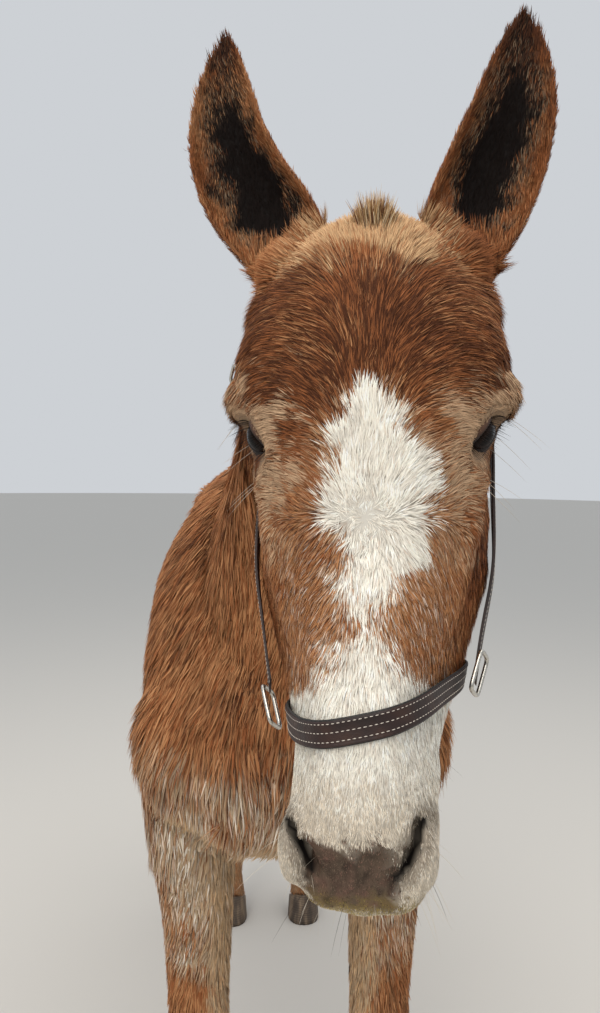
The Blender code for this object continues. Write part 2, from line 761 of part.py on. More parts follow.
def oriented_blob(centre, axes, radii, segments=16):
    """An ellipsoid with its radii along three stated directions."""
    turn = Matrix([axis.normalized() for axis in axes]).transposed()
    return ellipsoid("cutter", centre, radii, turn, segments)


def eye_opening(left):
    """The almond between the lids, with its inner corner low and forward."""
    out = head_direction(0.35, 0.45, left * 0.82).normalized()
    long_way = head_direction(0.79, 0.25, left * -0.55)
    long_way = (long_way - out * long_way.dot(out)).normalized()
    short_way = out.cross(long_way)
    centre = eye_centre(left) + out * (EYE_RADIUS + LID * 0.6)
    return oriented_blob(centre, (long_way, short_way, out), (0.0215, 0.0090, 0.0140), 12)


# Each nostril from above to below: along the face, forward, out to the side, lean in degrees, radii.
NOSTRILS = {
    1: [
        (0.4865, -0.0265, 0.0415, 14, (0.0056, 0.020, 0.0130)),
        (0.5010, -0.0240, 0.0385, 24, (0.0060, 0.020, 0.0120)),
        (0.5140, -0.0290, 0.0305, 52, (0.0046, 0.018, 0.0105)),
    ],
    -1: [
        (0.4915, -0.0275, 0.0500, 28, (0.0056, 0.020, 0.0130)),
        (0.5040, -0.0240, 0.0425, 34, (0.0060, 0.020, 0.0120)),
        (0.5150, -0.0300, 0.0363, 26, (0.0046, 0.018, 0.0100)),
    ],
}


def nostril_cutters(left):
    """A comma-shaped nostril: a long hollow that curls in below."""
    made = []
    for along, forward, side, lean, radii in NOSTRILS[left]:
        inward = head_direction(-0.2, -0.80, left * -0.50)
        down = head_direction(math.cos(math.radians(lean)), 0, left * -math.sin(math.radians(lean)))
        across = inward.cross(down)
        centre = head_point(along, forward, left * side) + inward * 0.006
        made.append(oriented_blob(centre, (across, inward, down), radii, 8))
    return made


def mouth_cutter():
    """The line between the lips: a thin plate without its middle, which only grooves the surface."""
    front = head_point(0.556, -0.098, 0.0)
    corner = head_point(0.448, -0.128, 0.0)
    back = (corner - front).normalized()
    side = head_direction(0, 0, 1)
    up = side.cross(back)
    plate = oriented_blob(front + back * 0.050, (side, back, up), (0.075, 0.064, 0.0016), 14)
    core = oriented_blob(front + back * 0.060, (side, back, up), (0.034, 0.052, 0.0100), 8)
    return combine(plate, [core], "DIFFERENCE")


def surface_tree(things):
    """A tree for finding the nearest skin and for casting rays at it."""
    bm = bmesh.new()
    for thing in things:
        bm.from_mesh(thing.data)
    tree = BVHTree.FromBMesh(bm)
    bm.free()
    return tree


def strap_reach(reach, turns, tightness):
    """The outline a strap follows: eased over the skin, and drawn over its hollows by its tightness."""
    points = [Vector((r * math.cos(a), r * math.sin(a))) for r, a in zip(reach, turns)]
    corners = [points[k] for k in geometry.convex_hull_2d(points)]
    tight = []
    for angle, r in zip(turns, reach):
        ray = Vector((math.cos(angle), math.sin(angle)))
        best = r
        for a, b in zip(corners, corners[1:] + corners[:1]):
            met = geometry.intersect_line_line_2d(Vector((0, 0)), ray * 3, a, b)
            if met:
                best = max(best, met.length)
        tight.append(r + tightness * (best - r))
    tight = np.array(tight)
    eased = tight.copy()
    for _ in range(8):
        eased = np.maximum(tight, (np.roll(eased, 1) + eased + np.roll(eased, -1)) / 3)
    return eased


@dataclass
class StrapPlane:
    """A flat loop round the head: its middle, its two in-plane axes, and its first and last angle."""

    middle: Vector
    side: Vector
    away: Vector
    first: float = 0.0
    last: float = 360.0
    tightness: float = 1.0


def reach_of(tree, start, ray, limit):
    """How far the last skin within the limit lies along a ray from inside the head."""
    travelled, last = 0.0, 0.0
    while travelled < limit:
        spot = tree.ray_cast(start + ray * travelled, ray, limit - travelled)[0]
        if spot is None:
            break
        last = (spot - start).dot(ray)
        travelled = last + 0.0005
    return last


def strap(name, plane, tree, width, thick, material_used, clearance=0.0009, limit=0.16, count=48):
    """A flat strap pulled tight round the head in a plane, whole or from one angle to another."""
    side = plane.side.normalized()
    away = (plane.away - side * plane.away.dot(side)).normalized()
    across = side.cross(away)
    degrees = plane.first + np.arange(count) * 360 / count
    turns = np.radians(degrees)
    profiles = []
    for offset in (-0.5, -0.25, 0.0, 0.25, 0.5):
        start = plane.middle + across * (offset * width)
        reach = []
        for angle in turns:
            near = (angle - 0.03, angle, angle + 0.03)
            rays = [side * math.cos(a) + away * math.sin(a) for a in near]
            reach.append(max(reach_of(tree, start, ray, limit) for ray in rays) + clearance)
        profiles.append(strap_reach(reach, turns, plane.tightness))
    edges = [np.maximum(profiles[0], profiles[1]), np.maximum(profiles[3], profiles[4])]
    bulge = np.maximum(0, profiles[2] - (edges[0] + edges[1]) / 2)
    edges = [edge + bulge for edge in edges]
    whole = plane.last - plane.first >= 359
    chosen = [k for k in range(count) if whole or degrees[k] <= plane.last]
    rings = []
    for k in chosen:
        ray = side * math.cos(turns[k]) + away * math.sin(turns[k])
        ring = []
        for sign, extra in ((-0.5, 0), (-0.5, thick), (0.5, thick), (0.5, 0)):
            reach = edges[0 if sign < 0 else 1][k] + extra
            ring.append(plane.middle + across * (sign * width) + ray * reach)
        rings.append(ring)
    return finish(add_object(name, wrapped_grid(rings, whole)), material_used, 35)


NECK_CUT = (Vector((0.0, 0.125, 1.400)), Vector((0.0, -0.220, 1.030)))


# The crest that carries the mane: a place along it, its height, and how far the hair stands up from it.
MANE = [
    (-0.352, 1.528, 0.034),
    (-0.310, 1.510, 0.050),
    (-0.260, 1.488, 0.054),
    (-0.160, 1.447, 0.052),
    (-0.060, 1.414, 0.045),
    (0.030, 1.400, 0.020),
]
CREST_UP = Vector((0, -0.32, 0.947))
MANE_LOCKS = 23
FORELOCKS = 8
LOCK_TIP = 0.06
LOCK_CLEARANCE = 1.4


def side_name(word, left):
    """A node name on the left or the right."""
    return word + ("_left" if left > 0 else "_right")


def neck_normal():
    """The direction from the trunk to the neck across the cut between them."""
    along = NECK_CUT[1] - NECK_CUT[0]
    return Vector((0, along.z, -along.y)).normalized()


def poll_cut():
    """A point on the cut behind the head, and the direction there from the head to the neck."""
    top = head_point(-0.020, -0.170, 0.0)
    throat = head_point(0.205, -0.290, 0.0)
    along = (throat - top).normalized()
    side = head_direction(0, 0, 1)
    return top, side.cross(along)


def lock(path, flat, width, thick):
    """One flat, tapered lock of hair along a path, its flat face towards the stated direction."""
    last = len(path) - 1
    rings = []
    for k, place in enumerate(path):
        ahead = (path[min(k + 1, last)] - path[max(k - 1, 0)]).normalized()
        face = (flat - ahead * flat.dot(ahead)).normalized()
        across = ahead.cross(face)
        taper = max(LOCK_TIP, (1 - (k / last) ** 2) ** 0.7)
        half, deep = width / 2 * taper, thick / 2 * taper
        corners = (across * half, face * deep, across * -half, face * -deep)
        rings.append([place + corner for corner in corners])
    return add_object("lock", wrapped_grid(rings))


def parted(core, locks, carrier):
    """Fuses locks to their core, and cuts the node clear of what carries it by the gap."""
    combine(core, locks, "UNION", "MANIFOLD")
    swollen = copied(carrier, "swollen")
    for vert in swollen.data.vertices:
        vert.co += vert.normal * (LOCK_CLEARANCE * GAP)
    combine(core, [swollen], "DIFFERENCE", "MANIFOLD")
    return largest_shell(core)


def mane_crest(y):
    """The crest of the neck and the height of its hair at a place along it."""
    z, tall = monotone_curve(
        [row[0] for row in MANE], [row[1:] for row in MANE], [min(max(y, MANE[0][0]), MANE[-1][0])]
    )[0]
    return Vector((0.024 * min(1, max(0, -y / 0.5)), y, z)), tall


def mane(neck):
    """The clipped mane: a low core along the crest, and upright locks that lean back and to either side."""
    rings = []
    for row in MANE:
        centre, tall = mane_crest(row[0])
        rings.append(Ring(centre + CREST_UP * tall * 0.45, centre - CREST_UP * 0.030, 0.0095, 0.4))
    core = lofted("mane", rings, steps=2, around=8)
    draw = random.Random(3)
    locks = []
    for k in range(MANE_LOCKS):
        share = (k + draw.uniform(0.2, 0.8)) / MANE_LOCKS
        y = MANE[0][0] + 0.012 + (MANE[-1][0] - MANE[0][0] - 0.030) * share
        root, tall = mane_crest(y)
        tall *= draw.uniform(0.90, 1.08)
        lean = (1 if k % 2 else -1) * draw.uniform(0.12, 0.34)
        back = draw.uniform(0.35, 0.70)
        path = []
        for step in range(4):
            share = step / 3
            rise = CREST_UP * (tall * share)
            path.append(root + rise + Vector((lean * tall * share**1.6, back * tall * share**1.8, 0)))
        locks.append(lock(path, Vector((1, 0, 0)), draw.uniform(0.028, 0.036), 0.012))
    return parted(core, locks, neck)


def forelock(head):
    """The short tuft between the ears: a low core and locks that fan up from it."""
    core = head_blob(0.014, -0.054, 0.004, (0.017, 0.011, 0.018))
    core.name = "forelock"
    draw = random.Random(4)
    locks = []
    for k in range(FORELOCKS):
        share = (k + 0.5) / FORELOCKS * 2 - 1
        lean = share * 0.55
        forward = draw.uniform(-0.22, 0.30)
        tall = 0.040 * draw.uniform(0.85, 1.05) * (1 - 0.25 * abs(share))
        path = []
        for step in range(4):
            up = step / 3
            out = -0.055 + forward * tall * up**1.5
            path.append(head_point(0.012 - tall * up, out, 0.004 + 0.011 * share + lean * tall * up))
        locks.append(lock(path, head_direction(0, 1, 0.3 * share), 0.019, 0.009))
    return parted(core, locks, head)


def tail(torso):
    """The tail: the dock, and two tiers of long locks that hang from it."""
    half_way = next(k for k, row in enumerate(TAIL) if row[1] < TAIL_CORE_END)
    rows = TAIL[:half_way]
    end = TAIL[half_way]
    core = tail_loft([*rows, (end[0], end[1], 0.008, 0.007)], "tail")
    cut_off(core, TAIL_ROOT + TAIL_OUT.normalized() * GAP, -TAIL_OUT)
    levels = [-row[1] for row in TAIL]
    draw = random.Random(6)
    locks = []
    for tier, (top, bottom, spread, count) in enumerate(TAIL_TIERS):
        for k in range(count):
            angle = 2 * math.pi * (k + 0.5 * tier) / count + draw.uniform(-0.10, 0.10)
            start = top + draw.uniform(-0.02, 0.02)
            stop = bottom + draw.uniform(-0.05, 0.07)
            path = []
            for step in range(5):
                z = start + (stop - start) * step / 4
                y, _, half, deep = monotone_curve(levels, TAIL, [-z])[0]
                out = spread * (0.72 if step == 0 else 1.0)
                path.append(Vector((half * math.cos(angle) * out, y + deep * math.sin(angle) * out, z)))
            flat = Vector((math.cos(angle), math.sin(angle), 0))
            locks.append(lock(path, flat, draw.uniform(0.038, 0.046), 0.015))
    return parted(core, locks, torso)


def ring_path(place, side, up, wide, tall):
    """The middle of the wire of a rectangular ring with rounded corners."""
    path = []
    for k in range(12):
        angle = 2 * math.pi * (k + 0.5) / 12
        x = math.copysign(abs(math.cos(angle)) ** 0.3, math.cos(angle)) * wide / 2
        y = math.copysign(abs(math.sin(angle)) ** 0.3, math.sin(angle)) * tall / 2
        path.append(place + side * x + up * y)
    return path


# How much further a ring's wire reaches at its mitred corners than along its sides.
RING_CORNER = 1.35
RING_WIDE = 0.030
RING_TALL = 0.034
RING_WIRE = 0.0019
NOSEBAND_WIDE = 0.020
NOSEBAND_THICK = 0.0034
STRAP_WIDE = 0.019
STRAP_THICK = 0.0032


def closest(tree, path):
    """The smallest distance from a closed line of points, and the lines between them, to a surface."""
    following = path[1:] + path[:1]
    spots = [a.lerp(b, k / 4) for a, b in zip(path, following) for k in range(4)]
    return min(tree.find_nearest(spot)[3] for spot in spots)


def halter_ring(name, place, out, up, tree, wide, tall, wire, material_used):
    """A rectangular ring of round wire, laid on the straps with a hair's clearance."""
    side = up.cross(out).normalized()
    up = out.cross(side).normalized()
    while closest(tree, ring_path(place, side, up, wide, tall)) < wire * RING_CORNER + GAP:
        place = place + out * GAP
    rings = []
    for centre in ring_path(place, side, up, wide, tall):
        spoke = (centre - place).normalized()
        turns = [2 * math.pi * j / 5 for j in range(5)]
        rings.append([centre + spoke * (wire * math.cos(a)) + out * (wire * math.sin(a)) for a in turns])
    return finish(add_object(name, wrapped_grid(rings, True)), material_used, 60)


def halter(nodes, leather, steel):
    """A plain halter: noseband, cheek straps, crown strap, and the rings that join them."""
    tree = surface_tree(nodes)
    side = head_direction(0, 0, 1)
    nose_side = head_direction(-0.236, 0.0, 1.0)
    nose_away = head_direction(0.137, 1.0, 0.0)
    noseband = StrapPlane(head_point(0.404, -0.085, 0.0), nose_side, nose_away, tightness=0.35)
    strap("noseband", noseband, tree, NOSEBAND_WIDE, NOSEBAND_THICK, leather)
    cheek_middle = head_point(0.240, -0.152, 0.0)
    cheek_away = head_direction(-0.952, -0.307, 0.0)
    left_cheek = StrapPlane(cheek_middle, side, cheek_away, -60, 50, 0.0)
    right_cheek = StrapPlane(cheek_middle, side, cheek_away, 133, 246, 0.0)
    strap("cheek_strap_left", left_cheek, tree, STRAP_WIDE, STRAP_THICK, leather, limit=0.27, count=72)
    strap("cheek_strap_right", right_cheek, tree, STRAP_WIDE, STRAP_THICK, leather, limit=0.27, count=72)
    crown_away = head_direction(-0.979, 0.204, 0.0)
    crown = StrapPlane(head_point(0.070, -0.186, 0.0), side, crown_away, -14, 194, 0.2)
    strap("crown_strap", crown, tree, STRAP_WIDE, STRAP_THICK, leather, limit=0.16, count=60)
    names = ("noseband", "cheek_strap_left", "cheek_strap_right", "crown_strap")
    straps = surface_tree([bpy.data.objects[name] for name in names])
    skin = surface_tree([bpy.data.objects["head"]])
    everything = surface_tree([bpy.data.objects[name] for name in (*names, "head", "neck")])
    for left in (-1, 1):
        low = head_point(0.376, -0.108, 0.080) if left > 0 else head_point(0.408, -0.112, -0.070)
        high = head_point(0.105, -0.192, left * 0.112)
        for word, place in (("cheek_ring", low), ("crown_ring", high)):
            out = skin.find_nearest(place)[1]
            up = head_direction(-1, -0.3, 0)
            place = straps.find_nearest(place)[0] + out * RING_WIRE
            size = (RING_WIDE, RING_TALL, RING_WIRE)
            halter_ring(side_name(word, left), place, out, up, everything, *size, steel)


def rest_on_origin():
    """Moves every mesh so that the origin lies under the middle of the whole box, on the ground."""
    things = [thing for thing in bpy.data.objects if thing.type == "MESH"]
    places = [vert.co for thing in things for vert in thing.data.vertices]
    low = Vector([min(place[axis] for place in places) for axis in range(3)])
    high = Vector([max(place[axis] for place in places) for axis in range(3)])
    shift = Vector((-(low.x + high.x) / 2, -(low.y + high.y) / 2, -low.z))
    for thing in things:
        thing.data.transform(Matrix.Translation(shift))
        thing.data.update()


def main():
    """Builds every sub-part."""
    clear_scene()
    coat = material("sorrel_coat", (0.33, 0.13, 0.055), 0.85)
    hair = material("flaxen_hair", (0.55, 0.40, 0.24), 0.85)
    horn = material("hoof_horn", (0.10, 0.085, 0.07), 0.5)
    eye = material("dark_eye", (0.03, 0.018, 0.012), 0.1)
    leather = material("brown_leather", (0.045, 0.024, 0.016), 0.45)
    steel = material("steel", (0.62, 0.60, 0.56), 0.3, 1.0)
    neck_form = lofted("neck_loft", NECK_RINGS, around=32)
    ears = {left: ear_loft(left) for left in (-1, 1)}
    head_parts = [head_loft(), *head_features()]
    head = melted("head", [*head_parts, *ears.values(), neck_form], FINE_SKIN, 22)
    legs = [leg_loft(FORELEG, left, FORE_OUT[left] - 0.138) for left in (-1, 1)]
    legs += [leg_loft(HIND_LEG, left) for left in (-1, 1)]
    tail_root = tail_loft(TAIL[:3], "tail_root")
    body_parts = [*head_parts, neck_form, trunk_loft(), tail_root, *muscles(), *legs]
    torso = melted("torso", body_parts, BODY_SKIN, 12)
    kept = {head, torso, *ears.values()}
    drop(*[thing for thing in bpy.data.objects if thing not in kept])
    ears[1].name = "ear_left"
    ears[-1].name = "ear_right"

    thinned(torso, 5200)
    combine(torso, [tail_groove()], "DIFFERENCE")
    largest_shell(torso)
    finish(tail(torso), hair)
    for left in (-1, 1):
        for word, box, out, shift in (
            ("foreleg", foreleg_box, FORE_OUT, 0.0),
            ("hind_leg", hind_leg_box, HIND_OUT, HIND_BACK),
        ):
            leg = copied(torso, side_name(word, left))
            combine(leg, [box(left, GAP)], "INTERSECT")
            combine(torso, [box(left)], "DIFFERENCE")
            largest_shell(cut_at_coronet(leg, shift))
            finish(leg, coat)
            hoof(side_name(word.replace("leg", "hoof"), left), left * out[left], shift, horn)
    neck = copied(torso, "neck")
    top, back = poll_cut()
    cut_off(torso, NECK_CUT[0], neck_normal())
    cut_off(neck, NECK_CUT[0] + neck_normal() * GAP, -neck_normal())
    cut_off(neck, top + back * GAP, -back)
    largest_shell(torso)
    largest_shell(neck)
    finish(torso, coat)
    finish(neck, coat)

    cut_off(head, top, back)
    largest_shell(head)
    for left in (-1, 1):
        combine(ears[left], [ear_box(left, GAP)], "INTERSECT", "MANIFOLD")
        combine(head, [ear_box(left)], "DIFFERENCE")
        finish(ears[left], coat)
    thinned(head, 3400)
    for left in (-1, 1):
        socket = ellipsoid("socket", eye_centre(left), [EYE_RADIUS + GAP] * 3, segments=EYE_SEGMENTS)
        combine(head, [socket, eye_opening(left), *nostril_cutters(left)], "DIFFERENCE")
        eyeball(side_name("eye", left), left, eye)
    combine(head, [mouth_cutter()], "DIFFERENCE")
    largest_shell(head)
    finish(head, coat)
    finish(mane(neck), hair)
    finish(forelock(head), hair)
    halter([head, neck], leather, steel)
    rest_on_origin()


main()
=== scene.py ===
"""A live sorrel mule in a leather halter: its hide, coat, mane, tail, eyes, hooves and halter.

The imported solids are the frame. One skin takes the place of the solids of flesh, and the coat
grows on it as thin solid tufts that follow the lie of the hair. Everything is in metres, +Z up,
with the mule facing -Y and its left side towards +X.
"""

import json
import logging
import math
from dataclasses import dataclass, field
from enum import Enum
from typing import Callable

import bmesh
import bpy
import numpy as np
from bpy.types import Material, Node, NodeSocket, NodeTree, Object
from mathutils import Matrix, Vector
from mathutils.bvhtree import BVHTree
from numpy.random import Generator

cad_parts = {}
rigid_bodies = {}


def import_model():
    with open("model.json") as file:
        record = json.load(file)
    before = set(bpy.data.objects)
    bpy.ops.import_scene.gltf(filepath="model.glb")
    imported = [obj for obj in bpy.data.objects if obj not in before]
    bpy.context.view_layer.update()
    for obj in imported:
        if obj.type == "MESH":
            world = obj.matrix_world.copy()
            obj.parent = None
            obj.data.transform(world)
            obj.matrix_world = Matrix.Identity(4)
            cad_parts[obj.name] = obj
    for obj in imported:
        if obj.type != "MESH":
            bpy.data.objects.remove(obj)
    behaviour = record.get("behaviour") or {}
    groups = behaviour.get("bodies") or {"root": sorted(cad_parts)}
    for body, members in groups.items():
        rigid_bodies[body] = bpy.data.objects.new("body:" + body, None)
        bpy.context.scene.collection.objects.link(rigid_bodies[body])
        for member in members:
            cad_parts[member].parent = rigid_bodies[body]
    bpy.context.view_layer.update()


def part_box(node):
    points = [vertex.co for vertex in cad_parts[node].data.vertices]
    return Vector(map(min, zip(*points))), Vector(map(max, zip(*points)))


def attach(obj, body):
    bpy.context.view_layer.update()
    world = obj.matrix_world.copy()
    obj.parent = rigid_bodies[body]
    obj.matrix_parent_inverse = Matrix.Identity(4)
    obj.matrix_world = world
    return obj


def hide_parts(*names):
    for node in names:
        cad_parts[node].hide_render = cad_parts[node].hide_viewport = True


log = logging.getLogger("mule")

Array = np.ndarray
Triple = tuple[float, float, float]

BODY = "root"
TRIANGLES_A_PIECE = 196_000
OFBAKE = "OFBake"
COAT_ATTRIBUTE = "coat_colour"
MM = 0.001


class Region(Enum):
    """The solids of flesh, and the part of the coat that each carries."""

    HEAD = "head"
    EAR_LEFT = "ear_left"
    EAR_RIGHT = "ear_right"
    NECK = "neck"
    TORSO = "torso"
    FORELEG_LEFT = "foreleg_left"
    FORELEG_RIGHT = "foreleg_right"
    HIND_LEG_LEFT = "hind_leg_left"
    HIND_LEG_RIGHT = "hind_leg_right"


REGIONS = list(Region)
EARS = (Region.EAR_LEFT, Region.EAR_RIGHT)
LEGS = REGIONS[5:]

# The slits of the left and the right nostril, from above down, as (along, forward, side) of the head.
NOSTRILS = (
    (
        (0.4795, -0.028, 0.0454),
        (0.4870, -0.024, 0.0420),
        (0.4976, -0.022, 0.0406),
        (0.5105, -0.026, 0.0336),
        (0.5180, -0.030, 0.0270),
    ),
    (
        (0.4850, -0.032, -0.0546),
        (0.4930, -0.024, -0.0500),
        (0.5010, -0.021, -0.0444),
        (0.5100, -0.025, -0.0385),
        (0.5190, -0.032, -0.0350),
    ),
)


def linear(hexadecimal: str) -> Array:
    """Turns an sRGB hex colour to linear light.

    Args:
        hexadecimal: The colour as "#rrggbb".

    Returns:
        Three linear values between 0 and 1.
    """
    channels = np.array([int(hexadecimal[k : k + 2], 16) for k in (1, 3, 5)]) / 255
    return np.where(channels <= 0.04045, channels / 12.92, ((channels + 0.055) / 1.055) ** 2.4)


def rgba(hexadecimal: str) -> tuple[float, float, float, float]:
    """The same colour as a socket wants it, opaque."""
    return (*linear(hexadecimal).tolist(), 1.0)


def smoothstep(low: float, high: float, value: Array) -> Array:
    """An eased step from 0 at low to 1 at high."""
    share = np.clip((value - low) / (high - low), 0, 1)
    return share * share * (3 - 2 * share)


def rounded(value: Array, power: float) -> Array:
    """A sine or cosine drawn towards 1 and -1, which turns a circle to a rounded rectangle."""
    return np.sign(value) * np.abs(value) ** power


def unit(vectors: Array) -> Array:
    """Rows of an array scaled to length 1."""
    return vectors / np.maximum(np.linalg.norm(vectors, axis=-1, keepdims=True), 1e-9)


def sampled(spots: Array, stations: Array, places: Array) -> Array:
    """Places read between those of the stations, one to a spot."""
    return np.stack([np.interp(spots, stations, column) for column in places.T], axis=1)


def dots(a: Array, b: Array) -> Array:
    """Row by row dot products."""
    return np.einsum("...i,...i->...", a, b)


def to_segment(places: Array, start: Array, end: Array, seen: Triple = (1, 1, 1)) -> tuple[Array, Array]:
    """Finds how places lie beside a straight line.

    Args:
        places: Places, one to a row.
        start: The line's first end.
        end: Its other end.
        seen: A weight for each axis in choosing the nearest place of the line.

    Returns:
        Each place's share along the line, and its offset from the line.
    """
    run = (end - start) * seen
    share = np.clip((places - start) @ run / (run @ run), 0, 1)
    return share, places - (start + share[:, None] * (end - start))


def nostril_reach(head_places: Array) -> tuple[Array, Array]:
    """Tells how far places lie from the nearer nostril's slit.

    Args:
        head_places: Places as (along, forward, side).

    Returns:
        The distance beside the slit, seen from the front, and how deep each place lies behind it.
    """
    best = np.full(len(head_places), 1.0)
    deep = np.zeros(len(head_places))
    for path in np.array(NOSTRILS):
        for start, end in zip(path, path[1:]):
            _, off = to_segment(head_places, start, end, seen=(1, 0, 1))
            away = np.hypot(off[:, 0], off[:, 2])
            closer = away < best
            best = np.where(closer, away, best)
            deep = np.where(closer, -off[:, 1], deep)
    return best, deep


def mottle(points: Array, wavelength: float, seed: int) -> Array:
    """A smooth, seeded pattern of patches.

    Args:
        points: Places, one to a row.
        wavelength: The usual distance between two patches, in metres.
        seed: Which pattern.

    Returns:
        A value of about -1 to 1 for each place.
    """
    rng = np.random.default_rng(seed)
    total = np.zeros(len(points))
    for _ in range(9):
        wave = unit(rng.normal(size=3)) * (2 * math.pi / wavelength) * rng.uniform(0.6, 1.7)
        total += np.sin(points @ wave + rng.uniform(0, 2 * math.pi))
    return total / 3.0


def plug(tree: NodeTree, node: Node, inputs: dict[str | int, object]) -> None:
    """Sets or links a node's inputs.

    Args:
        tree: The node tree.
        node: The node.
        inputs: Socket names or numbers, each with a value or with the output socket to link.
    """
    for name, value in inputs.items():
        if isinstance(value, NodeSocket):
            tree.links.new(value, node.inputs[name])
        else:
            node.inputs[name].default_value = value


def add_node(tree: NodeTree, kind: str, inputs: dict[str | int, object] | None = None, **settings) -> Node:
    """Adds a shader node, with its settings and links.

    Args:
        tree: The node tree.
        kind: The node's type, such as "ShaderNodeTexNoise".
        inputs: What its sockets get, as plug() takes it.
        **settings: The node's own properties.

    Returns:
        The new node.
    """
    node = tree.nodes.new(kind)
    for name, value in settings.items():
        setattr(node, name, value)
    plug(tree, node, inputs or {})
    return node


def new_material(name: str) -> tuple[Material, NodeTree, Node]:
    """Makes a node material.

    Args:
        name: The material's name.

    Returns:
        The material, its node tree and its Principled BSDF.
    """
    made = bpy.data.materials.new(name)
    made.use_nodes = True
    return made, made.node_tree, made.node_tree.nodes["Principled BSDF"]


def every(millimetres: float) -> float:
    """The scale of a pattern whose forms lie this far apart."""
    return 1 / (millimetres * MM)


def ramp(tree: NodeTree, factor: NodeSocket, stops: list[tuple[float, str]]) -> NodeSocket:
    """A colour ramp.

    Args:
        tree: The node tree.
        factor: The value that picks the colour.
        stops: Positions and sRGB hex colours.

    Returns:
        The ramp's colour socket.
    """
    node = add_node(tree, "ShaderNodeValToRGB", {0: factor})
    elements = node.color_ramp.elements
    while len(elements) < len(stops):
        elements.new(0.5)
    for element, (position, colour) in zip(elements, stops):
        element.position = position
        element.color = rgba(colour)
    return node.outputs[0]


def solid_corners(node: str) -> Array:
    """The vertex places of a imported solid."""
    return np.array([vert.co for vert in bpy.data.objects[node].data.vertices])


def move_corners(bm: bmesh.types.BMesh, places: Array) -> None:
    """Puts a bmesh's vertices at these places, and turns its faces outwards."""
    for vert, spot in zip(bm.verts, places):
        vert.co = spot
    bmesh.ops.recalc_face_normals(bm, faces=bm.faces)


def link_object(name: str, mesh: bpy.types.Mesh, material: Material) -> Object:
    """Puts a mesh in the scene with its finish, at the origin."""
    mesh.materials.append(material)
    made = bpy.data.objects.new(name, mesh)
    bpy.context.scene.collection.objects.link(made)
    return made


def object_from_bmesh(bm: bmesh.types.BMesh, name: str, material: Material) -> Object:
    """Turns a bmesh into an object of the scene.

    Args:
        bm: The bmesh, which is freed.
        name: The object's name.
        material: Its finish.

    Returns:
        The object, at the origin, shaded smooth.
    """
    mesh = bpy.data.meshes.new(name)
    for face in bm.faces:
        face.smooth = True
    bm.to_mesh(mesh)
    bm.free()
    return link_object(name, mesh, material)


def object_from_arrays(name: str, places: Array, faces: Array, material: Material) -> Object:
    """Makes an object of many small pieces from arrays.

    Args:
        name: The object's name.
        places: Vertex places, one to a row.
        faces: Vertex numbers, one face to a row.
        material: Its finish.

    Returns:
        The object, at the origin, shaded smooth.
    """
    mesh = bpy.data.meshes.new(name)
    count, corners = faces.shape
    mesh.vertices.add(len(places))
    mesh.vertices.foreach_set("co", places.astype(np.float32).ravel())
    mesh.loops.add(count * corners)
    mesh.loops.foreach_set("vertex_index", faces.astype(np.int32).ravel())
    mesh.polygons.add(count)
    mesh.polygons.foreach_set("loop_start", np.arange(0, count * corners, corners, dtype=np.int32))
    mesh.polygons.foreach_set("use_smooth", np.ones(count, bool))
    mesh.update(calc_edges=True)
    return link_object(name, mesh, material)


def paint(thing: Object, colours: Array) -> None:
    """Writes one linear colour for each vertex into the coat's attribute."""
    layer = thing.data.attributes.new(COAT_ATTRIBUTE, "FLOAT_COLOR", "POINT")
    full = np.ones((len(colours), 4), np.float32)
    full[:, :3] = np.clip(colours, 0, 1)
    layer.data.foreach_set("color", full.ravel())


def mesh_arrays(thing: Object) -> tuple[Array, Array, Array]:
    """Reads a mesh.

    Args:
        thing: A mesh object.

    Returns:
        Its vertex places, its vertex normals and its triangles' vertex numbers.
    """
    mesh = thing.data
    places = np.empty(len(mesh.vertices) * 3)
    mesh.vertices.foreach_get("co", places)
    normals = np.empty(len(mesh.vertices) * 3, np.float32)
    mesh.vertex_normals.foreach_get("vector", normals)
    mesh.calc_loop_triangles()
    corners = np.empty(len(mesh.loop_triangles) * 3, np.int32)
    mesh.loop_triangles.foreach_get("vertices", corners)
    return places.reshape(-1, 3), normals.reshape(-1, 3).astype(float), corners.reshape(-1, 3)


